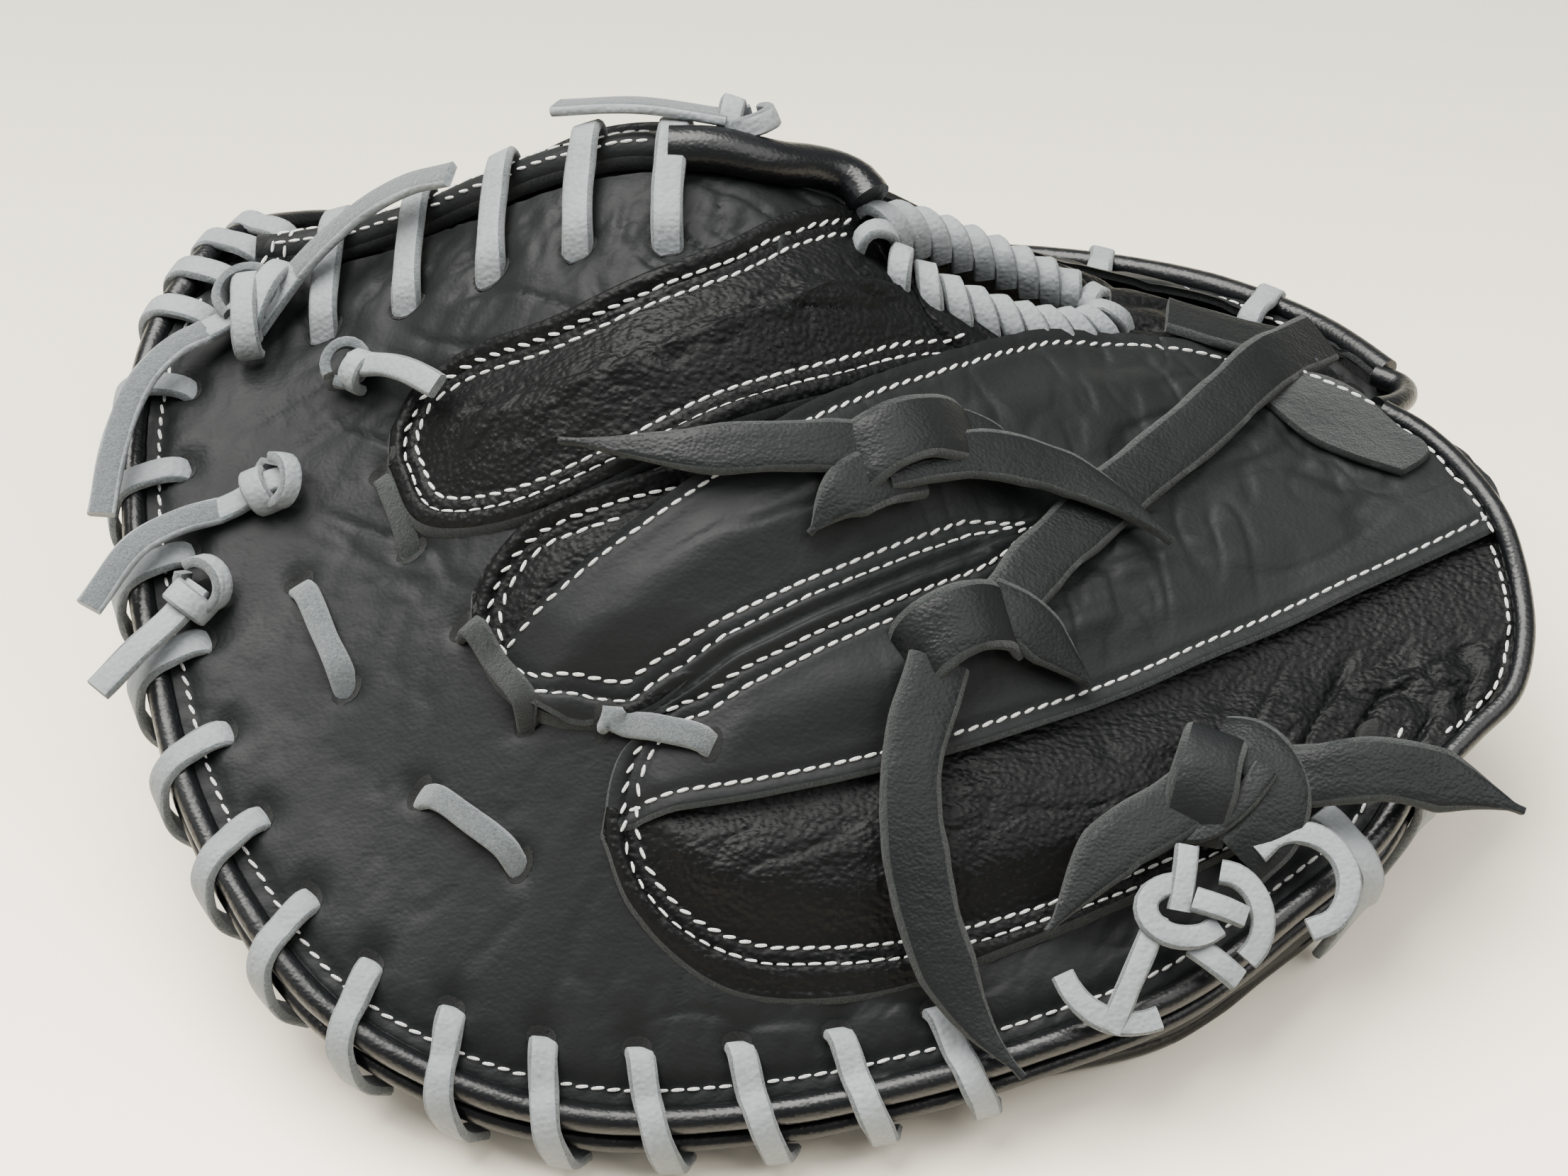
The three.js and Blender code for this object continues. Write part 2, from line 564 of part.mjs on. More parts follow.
add('strap_end_upper_left', strapOnBack([[16, -1, 10], [2, -6, 10.5], [-20, -9, 8],
  [-42, -4, 8.5]], 12), BLACK_SMOOTH);
add('strap_end_upper_right', strapOnBack([[43, 6, 12.5], [57, 5, 12.6], [68, 2, 13.6],
  [79, -3, 12.6]], 8), BLACK_SMOOTH);
add('strap_end_middle', strapOnBack([[31, -40, 10], [25, -62, 12], [29, -86, 10.5],
  [38, -100, 7.5], [47, -108, 6.5]], 14), BLACK_SMOOTH);
add('strap_end_lower_right', ribbon([[107, -52, 52], [120, -51, 54], [136, -52, 50],
  [150, -55, 45]], STRAP_W, STRAP_T, 12, () => new THREE.Vector3(0.1, -0.5, 0.85)), BLACK_SMOOTH);
add('strap_end_lower_left', strapOnBack([[78, -60, 9.5], [66, -68, 9.5], [52, -84, 9]], 8),
  BLACK_SMOOTH);

export default mitt;
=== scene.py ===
"""A black catcher's mitt lying palm down: leather panels, stitching, welts, lacing and straps
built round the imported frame. Lengths in the shape section are millimetres in the design frame;
every mesh is written in metres in the row frame."""

import math

import bpy
import numpy as np
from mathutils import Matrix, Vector
from mathutils.bvhtree import BVHTree


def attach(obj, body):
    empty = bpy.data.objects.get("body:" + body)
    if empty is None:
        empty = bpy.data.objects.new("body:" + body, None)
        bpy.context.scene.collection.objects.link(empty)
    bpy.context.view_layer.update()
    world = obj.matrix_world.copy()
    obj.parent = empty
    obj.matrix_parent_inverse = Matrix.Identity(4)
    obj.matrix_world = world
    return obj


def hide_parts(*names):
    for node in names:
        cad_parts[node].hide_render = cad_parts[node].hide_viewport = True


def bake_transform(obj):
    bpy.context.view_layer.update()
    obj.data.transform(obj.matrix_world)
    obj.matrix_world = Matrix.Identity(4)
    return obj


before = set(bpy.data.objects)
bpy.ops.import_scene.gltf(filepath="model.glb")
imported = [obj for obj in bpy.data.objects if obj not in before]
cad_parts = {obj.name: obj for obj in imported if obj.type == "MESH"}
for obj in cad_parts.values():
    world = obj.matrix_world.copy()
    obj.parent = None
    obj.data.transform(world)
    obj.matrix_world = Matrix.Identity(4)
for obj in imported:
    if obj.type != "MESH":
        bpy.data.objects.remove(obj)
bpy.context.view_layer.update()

MM = 0.001
CENTRE = np.array([6.55, 8.35, 1.4])       # design point at the row's origin
FINGERS, THUMB = "finger_side", "thumb_side"

# Shape of the mitt, as in the CAD.
APEX_X, RIDGE_RISE, RIM_LEVEL = -22.0, 53.0, 20.0
NEAR_EDGE_Y, FAR_EDGE_Y = -112.0, 126.5
RIM_DEPTH, HEEL_DEPTH, THUMB_DEPTH = 22.0, 13.0, 3.5
LEATHER, PALM_LEATHER, MIN_PAD = 2.4, 2.6, 7.0
CRESCENT_TOP, STALL_BOTTOM, STALL_TOP, OVERLAY_TOP = -2.6, -1.5, 0.7, 4.8
CAVITY_DEPTH, PALM_INSET = 28.0, 9.0
WELT_R, PALM_WELT_R = 2.8, 3.2
LACE_W, LACE_T, STRAP_W, STRAP_T = 6.0, 2.2, 13.0, 2.6


def smooth(v):
    t = np.clip(v, 0, 1)
    return t * t * (3 - 2 * t)


def lerp(a, b, t):
    return a + (b - a) * t


def ridge_y(x):
    return 57 - 0.14 * (x + 15)


def ridge_z(x):
    spread = np.where(x < APEX_X, 62, 75)
    return 64 - 0.06 * x + RIDGE_RISE * np.exp(-(((x - APEX_X) / spread) ** 2))


def side_t(x, y):
    r = ridge_y(x)
    return np.where(y < r, (r - y) / (r - NEAR_EDGE_Y), (y - r) / (FAR_EDGE_Y - r))


def back(x, y):
    power = np.where(y < ridge_y(x), 1.6, 2.0)
    return RIM_LEVEL + (ridge_z(x) - RIM_LEVEL) * (1 - np.abs(side_t(x, y)) ** power)


class Path:
    """A smooth curve through points, read by its share of the length."""

    def __init__(self, points, closed=False, steps=16):
        p = np.array(points, float)
        if closed:
            q = np.vstack([p[-1], p, p[0], p[1]])
        else:
            q = np.vstack([2 * p[0] - p[1], p, 2 * p[-1] - p[-2]])
        out = []
        for i in range(1, len(q) - 2):
            a, b, c, d = q[i - 1], q[i], q[i + 1], q[i + 2]
            t0 = 0.0
            t1 = t0 + max(np.linalg.norm(b - a), 1e-6) ** 0.5
            t2 = t1 + max(np.linalg.norm(c - b), 1e-6) ** 0.5
            t3 = t2 + max(np.linalg.norm(d - c), 1e-6) ** 0.5
            t = np.linspace(t1, t2, steps, endpoint=False)[:, None]
            a1 = (t1 - t) / (t1 - t0) * a + (t - t0) / (t1 - t0) * b
            a2 = (t2 - t) / (t2 - t1) * b + (t - t1) / (t2 - t1) * c
            a3 = (t3 - t) / (t3 - t2) * c + (t - t2) / (t3 - t2) * d
            b1 = (t2 - t) / (t2 - t0) * a1 + (t - t0) / (t2 - t0) * a2
            b2 = (t3 - t) / (t3 - t1) * a2 + (t - t1) / (t3 - t1) * a3
            out.append((t2 - t) / (t2 - t1) * b1 + (t - t1) / (t2 - t1) * b2)
        self.p = np.vstack(out + [q[-2][None]])
        run = np.r_[0, np.cumsum(np.linalg.norm(np.diff(self.p, axis=0), axis=1))]
        self.length = run[-1]
        self.s = run / run[-1]

    def at(self, t):
        t = np.clip(np.asarray(t, float), 0, 1)
        return np.stack([np.interp(t, self.s, self.p[:, k]) for k in range(self.p.shape[1])], -1)

    def tangent(self, t, step=0.004):
        d = self.at(np.asarray(t) + step) - self.at(np.asarray(t) - step)
        return d / np.maximum(np.linalg.norm(d, axis=-1, keepdims=True), 1e-9)


NEAR_RIM = Path([[130, -36], [118, -55], [101, -69], [79, -85], [54, -95], [26, -103],
                 [-5, -108], [-40, -108.5], [-67, -102], [-91, -88.5], [-108, -68],
                 [-120, -46], [-127, -24], [-132, -4], [-135, 16], [-136, 38], [-133, 58],
                 [-126, 74]])
FAR_RIM = Path([[133, 60], [116, 82], [88, 103], [48, 118], [0, 125], [-42, 124],
                [-82, 115], [-108, 100], [-120, 86]])
RIM_POINTS = np.vstack([NEAR_RIM.at(np.linspace(0, 1, 81)), FAR_RIM.at(np.linspace(0, 1, 81))])


def rim_distance(x, y):
    flat = np.stack([np.ravel(x), np.ravel(y)], 1)
    d = np.min(np.linalg.norm(flat[:, None] - RIM_POINTS[None], axis=2), axis=1)
    return d.reshape(np.shape(x))


def rim_depth(x, y):
    return RIM_DEPTH + HEEL_DEPTH * smooth((x - 40) / 60) + THUMB_DEPTH * smooth((y - 70) / 30)


def palm(x, y):
    inner = smooth(rim_distance(x, y) / 60)
    pocket_ridge = np.clip(50 - 0.22 * (x - APEX_X), 16, 56)
    pocket = pocket_ridge * (1 - np.abs(side_t(x, y)) ** 1.6)
    rim = back(x, y) - rim_depth(x, y)
    return lerp(rim, np.minimum(pocket, rim), inner)


def cavity(x, y):
    wall = lerp(-52, -38, smooth(x / 128))
    return smooth((x + 16) / 26) * smooth((y - wall) / 12)


def rim_frame(path, t):
    """Plan point, direction along the rim, and direction outward."""
    p, along = path.at(t), path.tangent(t)
    out = np.stack([-along[..., 1], along[..., 0]], -1)
    flip = np.sum(out * (p - [0, 10]), -1) < 0
    return p, along, np.where(flip[..., None], -out, out)


def noise(x, y, size, seed=0):
    """Smooth value noise, about -1 to 1, with features of the given size."""
    u, v = np.asarray(x) / size + seed * 17.3, np.asarray(y) / size + seed * 9.1
    i, j = np.floor(u), np.floor(v)
    fu, fv = smooth(u - i), smooth(v - j)

    def cell(a, b):
        h = np.sin(a * 127.1 + b * 311.7 + seed * 74.7) * 43758.5453
        return 2 * (h - np.floor(h)) - 1
    return lerp(lerp(cell(i, j), cell(i + 1, j), fu),
                lerp(cell(i, j + 1), cell(i + 1, j + 1), fu), fv)


def creases(x, y, direction, size, stretch, seed):
    """Long thin folds that run along a direction, in degrees."""
    a = math.radians(direction)
    along = x * math.cos(a) + y * math.sin(a)
    across = -x * math.sin(a) + y * math.cos(a)
    n = noise(along / stretch, across, size, seed) + 0.5 * noise(along / stretch, across,
                                                                 size / 2, seed + 1)
    return -np.exp(-(n / 0.22) ** 2)


# ---------- Camera ----------
FRAME_W, SENSOR, PX_PER_MM, DISTANCE = 2212, 36.0, 6.66, 0.750
ELEVATION = math.radians(50)
TARGET = (np.array([0, 0, 50]) - CENTRE) * MM
camera_data = bpy.data.cameras.new("camera")
camera = bpy.data.objects.new("camera", camera_data)
bpy.context.scene.collection.objects.link(camera)
camera.location = TARGET + DISTANCE * np.array([0, -math.cos(ELEVATION), math.sin(ELEVATION)])
camera.rotation_euler = (math.pi / 2 - ELEVATION, 0, 0)
camera_data.sensor_width = SENSOR
camera_data.lens = DISTANCE / MM * PX_PER_MM / FRAME_W * SENSOR
camera_data.clip_start = 0.01
bpy.context.scene.camera = camera


# ---------- Materials ----------
class Shader:
    def __init__(self, name):
        self.m = bpy.data.materials.new(name)
        self.m.use_nodes = True
        self.t = self.m.node_tree
        self.bsdf = self.t.nodes["Principled BSDF"]
        self.coord = self.t.nodes.new("ShaderNodeTexCoord")

    def link(self, a, b):
        self.t.links.new(a, b)

    def noise(self, scale, detail=4, rough=0.6, stretch=None):
        n = self.t.nodes.new("ShaderNodeTexNoise")
        n.inputs["Scale"].default_value = scale
        n.inputs["Detail"].default_value = detail
        n.inputs["Roughness"].default_value = rough
        self.link(self.where(stretch), n.inputs["Vector"])
        return n.outputs["Fac"]

    def cells(self, scale, stretch=None, feature="F1"):
        n = self.t.nodes.new("ShaderNodeTexVoronoi")
        n.feature = feature
        n.inputs["Scale"].default_value = scale
        self.link(self.where(stretch), n.inputs["Vector"])
        return n.outputs["Distance"]

    def where(self, stretch):
        if not stretch:
            return self.coord.outputs["Object"]
        m = self.t.nodes.new("ShaderNodeMapping")
        m.inputs["Scale"].default_value = stretch
        self.link(self.coord.outputs["Object"], m.inputs["Vector"])
        return m.outputs["Vector"]

    def ramp(self, fac, stops):
        r = self.t.nodes.new("ShaderNodeValToRGB")
        while len(r.color_ramp.elements) < len(stops):
            r.color_ramp.elements.new(0.5)
        for e, (pos, col) in zip(r.color_ramp.elements, stops):
            e.position = pos
            e.color = (*col, 1) if len(col) == 3 else col
        self.link(fac, r.inputs["Fac"])
        return r.outputs["Color"]

    def remap(self, fac, low, high, from_low=0.3, from_high=0.7):
        n = self.t.nodes.new("ShaderNodeMapRange")
        n.inputs["From Min"].default_value = from_low
        n.inputs["From Max"].default_value = from_high
        n.inputs["To Min"].default_value = low
        n.inputs["To Max"].default_value = high
        self.link(fac, n.inputs["Value"])
        return n.outputs["Result"]

    def mix(self, fac, a, b):
        n = self.t.nodes.new("ShaderNodeMix")
        n.data_type = "RGBA"
        if isinstance(fac, float):
            n.inputs["Factor"].default_value = fac
        else:
            self.link(fac, n.inputs["Factor"])
        self.link(a, n.inputs["A"])
        self.link(b, n.inputs["B"])
        return n.outputs["Result"]

    def bump(self, height, distance, strength=1.0, normal=None):
        n = self.t.nodes.new("ShaderNodeBump")
        n.inputs["Distance"].default_value = distance
        n.inputs["Strength"].default_value = strength
        self.link(height, n.inputs["Height"])
        if normal:
            self.link(normal, n.inputs["Normal"])
        return n.outputs["Normal"]


def leather(name, dark, light, rough, grain, grain_depth, fold_depth, coat=0.0, specular=0.14):
    """Finished leather: pebble cells, fine folds and a slow change of colour and polish."""
    s = Shader(name)
    tone = s.ramp(s.noise(24, 4, 0.55), [(0.25, dark), (0.78, light)])
    speck = s.ramp(s.cells(grain), [(0.1, light), (0.6, dark)])
    s.link(s.mix(0.2, tone, speck), s.bsdf.inputs["Base Color"])
    s.link(s.remap(s.noise(45, 4), rough - 0.07, rough + 0.09), s.bsdf.inputs["Roughness"])
    normal = s.bump(s.noise(150, 3, 0.5, (1, 1.7, 1)), fold_depth, 0.8)
    normal = s.bump(s.cells(grain, (1, 1.3, 1), "SMOOTH_F1"), -grain_depth, 1.0, normal)
    normal = s.bump(s.noise(2600, 2), grain_depth * 0.3, 0.5, normal)
    s.link(normal, s.bsdf.inputs["Normal"])
    s.bsdf.inputs["Coat Weight"].default_value = coat
    s.bsdf.inputs["Coat Roughness"].default_value = 0.3
    s.bsdf.inputs["Specular IOR Level"].default_value = specular
    return s.m


def suede(name, dark, light, depth=0.0005, sheen=0.3):
    """Napped flesh side or cut edge."""
    s = Shader(name)
    nap = s.noise(1900, 5, 0.7)
    s.link(s.ramp(nap, [(0.3, dark), (0.75, light)]), s.bsdf.inputs["Base Color"])
    s.bsdf.inputs["Roughness"].default_value = 0.95
    s.bsdf.inputs["Sheen Weight"].default_value = sheen
    s.bsdf.inputs["Specular IOR Level"].default_value = 0.25
    s.bsdf.inputs["Sheen Roughness"].default_value = 0.5
    s.link(s.bump(nap, depth, 1.0, s.bump(s.noise(420, 4), depth * 1.3, 0.7)),
           s.bsdf.inputs["Normal"])
    return s.m


def thread(name, colour, shade):
    s = Shader(name)
    s.link(s.ramp(s.noise(900, 4), [(0.3, shade), (0.7, colour)]), s.bsdf.inputs["Base Color"])
    s.bsdf.inputs["Roughness"].default_value = 0.6
    w = s.t.nodes.new("ShaderNodeTexWave")
    w.inputs["Scale"].default_value = 900
    w.inputs["Distortion"].default_value = 1.5
    s.link(s.where(None), w.inputs["Vector"])
    s.link(s.bump(w.outputs["Fac"], 0.0002, 0.8), s.bsdf.inputs["Normal"])
    return s.m


SMOOTH_LEATHER = leather("smooth_black_leather", (0.005, 0.0058, 0.006), (0.0066, 0.0075, 0.0077),
                         0.56, 1050, 0.00007, 0.00028)
GRAIN_LEATHER = leather("grained_black_leather", (0.0018, 0.002, 0.0021), (0.0033, 0.0037, 0.0038),
                        0.5, 780, 0.0004, 0.0008, specular=0.11)
PALM_SKIN = leather("palm_leather", (0.005, 0.005, 0.005), (0.011, 0.0107, 0.0102), 0.55, 900,
                    0.0003, 0.0006)
PIPING = leather("polished_piping", (0.0015, 0.0017, 0.0022), (0.0032, 0.0036, 0.0042), 0.32, 1200,
                 0.0001, 0.0003, coat=0.15, specular=0.22)
STRAP = leather("strap_leather", (0.0042, 0.0049, 0.0051), (0.0085, 0.0097, 0.01), 0.45, 1300,
                0.00014, 0.0004)
LACE = leather("grey_lace_grain", (0.13, 0.142, 0.146), (0.225, 0.243, 0.248), 0.6, 900,
               0.00025, 0.0004)
LACE_SUEDE = suede("grey_lace_suede", (0.035, 0.042, 0.044), (0.115, 0.132, 0.136))
DARK_SUEDE = suede("dark_green_suede", (0.003, 0.0047, 0.0045), (0.0135, 0.0185, 0.0175),
                   0.0009, 0.12)
LINING = suede("lining_suede", (0.003, 0.0033, 0.0033), (0.01, 0.0106, 0.0106), sheen=0.05)
FELT = suede("padding_felt", (0.03, 0.03, 0.027), (0.08, 0.078, 0.072))
THREAD = thread("white_thread", (0.75, 0.75, 0.72), (0.42, 0.42, 0.4))


# ---------- Mesh helpers ----------
def metres(points):
    return (np.asarray(points, float) - CENTRE) * MM


def make(name, verts, faces, materials, indices=None, body=FINGERS, slot=None, angle=50):
    mesh = bpy.data.meshes.new(name)
    mesh.from_pydata(metres(verts).tolist(), [], [tuple(int(i) for i in f) for f in faces])
    for m in materials:
        mesh.materials.append(m)
    if indices is not None:
        mesh.polygons.foreach_set("material_index", np.asarray(indices, np.int32))
    mesh.validate()
    mesh.polygons.foreach_set("use_smooth", np.ones(len(mesh.polygons), bool))
    mesh.set_sharp_from_angle(angle=math.radians(angle))
    mesh.update()
    obj = bpy.data.objects.new(name, mesh)
    bpy.context.scene.collection.objects.link(obj)
    if body:
        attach(obj, body)
    return obj


def ring_faces(rings, sides):
    """Faces between neighbouring closed rings of points."""
    faces = []
    for a in range(0, (rings - 1) * sides, sides):
        for j in range(sides):
            k = (j + 1) % sides
            faces.append((a + j, a + k, a + sides + k, a + sides + j))
    return faces


def panel(name, x, y, top, bottom, materials, ring=False, edge_round=0.5, **kw):
    """A sheet of leather over a grid of plan points, with rounded cut edges."""
    nu, nv = x.shape
    blocks = [np.stack([x, y, z], -1).reshape(-1, 3) for z in (top, bottom)]
    verts = list(blocks[0]) + list(blocks[1])
    faces, index = [], []
    size = nu * nv
    columns = nu if ring else nu - 1
    for i in range(columns):
        k = (i + 1) % nu
        for j in range(nv - 1):
            a, b, c, d = i * nv + j, k * nv + j, k * nv + j + 1, i * nv + j + 1
            faces += [(a, b, c, d), (size + a, size + d, size + c, size + b)]
            index += [0, 1]
    if ring:
        loops = [[i * nv for i in range(nu)], [i * nv + nv - 1 for i in range(nu)][::-1]]
    else:
        loops = [[i * nv for i in range(nu)] + [(nu - 1) * nv + j for j in range(1, nv)]
                 + [i * nv + nv - 1 for i in range(nu - 2, -1, -1)]
                 + [j for j in range(nv - 2, 0, -1)]]
    for loop in loops:
        p = np.array([verts[i] for i in loop])
        q = np.array([verts[size + i] for i in loop])
        ahead = np.roll(p, -1, 0) - np.roll(p, 1, 0)
        out = np.stack([ahead[:, 1], -ahead[:, 0], 0 * ahead[:, 0]], 1)
        out /= np.maximum(np.linalg.norm(out, axis=1, keepdims=True), 1e-9)
        start = len(verts)
        verts += list((p + q) / 2 + out * edge_round)
        n = len(loop)
        for i in range(n):
            k = (i + 1) % n
            faces += [(loop[k], loop[i], start + i, start + k),
                      (start + k, start + i, size + loop[i], size + loop[k])]
            index += [1, 1]
    return make(name, verts, faces, materials, index, **kw)


def skin(name, node, x, y, top, bottom, materials, **kw):
    """A leather panel that stands for a CAD node and that later pieces lie on."""
    obj = panel(name, x, y, top, bottom, materials, **kw)
    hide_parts(node)
    return lay_on(obj)


def between(lower, upper, nu, nv, power=1.0):
    """Plan grid between two paths; power above 1 packs columns at the start."""
    u = np.linspace(0, 1, nu) ** power
    v = np.linspace(0, 1, nv)
    a, b = lower.at(u)[:, None], upper.at(u)[:, None]
    grid = lerp(a, b, v[None, :, None])
    return grid[..., 0], grid[..., 1], u[:, None] + 0 * v, v[None] + 0 * u[:, None]


def tube(name, points, radius, mat, sides=12, wobble=0.0, floor=None, **kw):
    """A rolled welt or piping along 3-D points."""
    path = Path(points)
    n = int(path.length / 2.2) + 2
    t = np.linspace(0, 1, n)
    p = path.at(t)
    tan = path.tangent(t)
    up = np.array([0, 0, 1.0])
    side = np.cross(tan, up)
    side /= np.maximum(np.linalg.norm(side, axis=1, keepdims=True), 1e-9)
    lift = np.cross(side, tan)
    a = np.linspace(0, 2 * np.pi, sides, endpoint=False)
    run = t * path.length
    r = radius * (1 + wobble * noise(run, run * 0 + 3, 9, 4))[:, None, None]
    ring = p[:, None] + r * (np.cos(a)[None, :, None] * side[:, None]
                             + np.sin(a)[None, :, None] * lift[:, None])
    if floor is not None:
        ring[..., 2] = np.maximum(ring[..., 2], floor)
    verts = ring.reshape(-1, 3)
    faces = ring_faces(n, sides)
    faces.append(tuple(range(sides))[::-1])
    faces.append(tuple((n - 1) * sides + j for j in range(sides)))
    return make(name, verts, faces, [mat], **kw)


def ribbon_mesh(points, normals, width, thick, seed=0, pointed=0.0, fray=0.12):
    """Vertices, faces and material indices of a flat lace. 0 is the grain face, 1 the rest."""
    path = Path(points)
    n = max(6, int(path.length / 1.3))
    t = np.linspace(0, 1, n)
    p, tan = path.at(t), path.tangent(t, 0.01)
    normals = np.asarray(normals, float)
    if normals.ndim == 1:
        up = np.tile(normals, (n, 1))
    else:
        key = np.linspace(0, 1, len(normals))
        up = np.stack([np.interp(t, key, normals[:, k]) for k in range(3)], 1)
    side = np.cross(tan, up)
    side /= np.maximum(np.linalg.norm(side, axis=1, keepdims=True), 1e-9)
    up = np.cross(side, tan)
    run = t * path.length
    w = width / 2 * (1 + 0.05 * noise(run, run * 0 + seed, 7, seed))
    if pointed:
        w = w * np.clip((path.length - run) / pointed, 0.12, 1)
    h = thick / 2
    section = [(0.96, 0.55), (0.8, 0.95), (0.4, 1), (0, 1.02), (-0.4, 1), (-0.8, 0.95),
               (-0.96, 0.55), (-1, -0.3), (-0.85, -0.95), (0, -1), (0.85, -0.95), (1, -0.3)]
    m = len(section)
    rough = fray * np.sin(np.arange(n)[:, None] * 12.9898 + np.arange(m)[None] * 78.2 + seed)
    edge = np.array([abs(a) > 0.9 for a, _ in section])
    a = np.array([a for a, _ in section])[None] * w[:, None] + rough * edge
    b = np.array([b for _, b in section])[None] * h + 0.3 * rough * edge
    ring = p[:, None] + a[..., None] * side[:, None] + b[..., None] * up[:, None]
    faces, index = [], []
    for i in range(n - 1):
        for j in range(m):
            k = (j + 1) % m
            faces.append((i * m + j, (i + 1) * m + j, (i + 1) * m + k, i * m + k))
            index.append(0 if 1 <= j <= 4 else 1)
    faces.append(tuple(range(m)))
    faces.append(tuple((n - 1) * m + j for j in range(m))[::-1])
    return ring.reshape(-1, 3), faces, index + [1, 1], p


def ribbon(name, points, normals, width, thick, mats, seed=0, pointed=0.0, **kw):
    verts, faces, index, centre = ribbon_mesh(points, normals, width, thick, seed, pointed)
    obj = make(name, verts, faces, mats, index, angle=60, **kw)
    return obj, centre


def merged(name, parts, mats, **kw):
    """One mesh from several (verts, faces, indices)."""
    verts, faces, index, base = [], [], [], 0
    for v, f, i in parts:
        verts.append(v)
        faces += [tuple(k + base for k in face) for face in f]
        index += list(i)
        base += len(v)
    return make(name, np.vstack(verts), faces, mats, index, **kw)


# ---------- Surfaces to lay things on ----------
_trees = []


def lay_on(obj):
    mesh = obj.data
    verts = [Vector(v.co) for v in mesh.vertices]
    _trees.append(BVHTree.FromPolygons(verts, [tuple(p.vertices) for p in mesh.polygons]))
    return obj


def drop(x, y):
    """Height and normal of the topmost leather below a plan point, in design millimetres."""
    origin = Vector(metres([x, y, 400]))
    best = None
    for tree in _trees:
        hit, normal, _, _ = tree.ray_cast(origin, Vector((0, 0, -1)))
        if hit and (best is None or hit.z > best[0].z):
            best = (hit, normal)
    if best is None:
        return float(back(x, y)), np.array([0, 0, 1.0])
    n = np.array(best[1])
    return best[0].z / MM + CENTRE[2], n if n[2] > 0 else -n


def back_normal(x, y, step=2.0):
    dx = (back(x + step, y) - back(x - step, y)) / (2 * step)
    dy = (back(x, y + step) - back(x, y - step)) / (2 * step)
    n = np.array([-float(dx), -float(dy), 1.0])
    return n / np.linalg.norm(n)


def polyline_distance(x, y, path, count=240):
    """Plan distance to a path, its sign (1 to the left), and the share of the path there."""
    q = path.at(np.linspace(0, 1, count))[:, :2]
    flat = np.stack([np.ravel(x), np.ravel(y)], 1)
    best = np.full(len(flat), 1e9)
    sign = np.ones(len(flat))
    where = np.zeros(len(flat))
    for i in range(count - 1):
        a, d = q[i], q[i + 1] - q[i]
        r = flat - a
        s = np.clip((r @ d) / max(d @ d, 1e-9), 0, 1)
        gap = np.linalg.norm(r - s[:, None] * d, axis=1)
        near = gap < best
        best[near] = gap[near]
        sign[near] = np.where(d[0] * r[near, 1] < d[1] * r[near, 0], -1, 1)
        where[near] = (i + s[near]) / (count - 1)
    shape = np.shape(x)
    return best.reshape(shape), sign.reshape(shape), where.reshape(shape)


def dent(x, y, spots, radius, depth):
    """Round dips at plan points."""
    z = np.zeros(np.shape(x))
    for a, b in spots:
        z -= depth * np.exp(-(((x - a) ** 2 + (y - b) ** 2) / radius ** 2))
    return z


def offset(path, distance, count=90, taper_start=0.0, taper_end=0.0):
    """A path beside another one in plan, to its left for a positive distance."""
    t = np.linspace(0, 1, count)
    p, tan = path.at(t), path.tangent(t)
    out = np.stack([-tan[:, 1], tan[:, 0]], 1)
    share = np.ones(count)
    if taper_start:
        share = np.clip(t * path.length / taper_start, 0, 1)
    if taper_end:
        share = np.clip((1 - t) * path.length / taper_end, 0, 1)
    return Path(p + out * distance * share[:, None], steps=2)


def arc(centre, radii, start, end, count=9):
    """Points on an ellipse in plan, from one angle to another in degrees."""
    a = np.radians(np.linspace(start, end, count))
    return np.array(centre) + np.array(radii) * np.stack([np.cos(a), np.sin(a)], 1)


def line(start, end, count=4):
    return np.linspace(start, end, count)


def surface(x, y, level):
    return back(x, y) + level


# ---------- Free lace ends, which come first ----------
def on_back(route):
    return [(x, y, float(back(x, y)) + lift) for x, y, lift in route]


LACE_MATS = [LACE, LACE_SUEDE]
STRAP_MATS = [STRAP, DARK_SUEDE]


def free_end(node, route, width, thick, mats, pointed=0.0, seed=0):
    """A lace that leaves its knot and lies free, with the length that its route has."""
    points = on_back(route)
    normals = [back_normal(p[0], p[1]) for p in points]
    obj, centre = ribbon(node + "_lace", points, normals, width, thick, mats, seed, pointed,
                         slot="grey_lace" if mats is LACE_MATS else "black_strap")
    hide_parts(node)
    return obj


free_end("lace_end_fingertip", [(-118, 7, 1.4), (-126, 4, 3.5), (-135, -4, 7), (-143, -17, 7.5)],
         LACE_W, LACE_T, [LACE_SUEDE, LACE], seed=2)
free_end("lace_end_web", [(-124, 49, 4.5), (-130, 44, 6.5), (-137, 33, 8), (-141, 16, 8),
                          (-142, 3, 8)], LACE_W, LACE_T, [LACE_SUEDE, LACE], seed=3)
free_end("lace_end_web_upper", [(-105, 60, 6), (-99, 63, 9), (-90, 66.5, 11.5), (-80, 66.5, 13),
                                (-70, 62, 14)], LACE_W, LACE_T, [LACE_SUEDE, LACE],
         seed=5)
free_end("strap_end_middle", [(31, -40, 10), (25, -62, 12), (29, -86, 10.5), (38, -100, 7.5),
                              (47, -108, 6.5)], STRAP_W, STRAP_T, STRAP_MATS,
         pointed=26, seed=4)


# ---------- Palm, padding and lining ----------
def fold_near(u):
    x = lerp(130, -119, u)
    return np.stack([x, ridge_y(x) - 2], -1)


THUMB_FOLD = Path([[134, 50], [100, 53], [60, 59], [20, 64], [-20, 69], [-42, 73], [-60, 96],
                   [-90, 103], [-106, 96]])


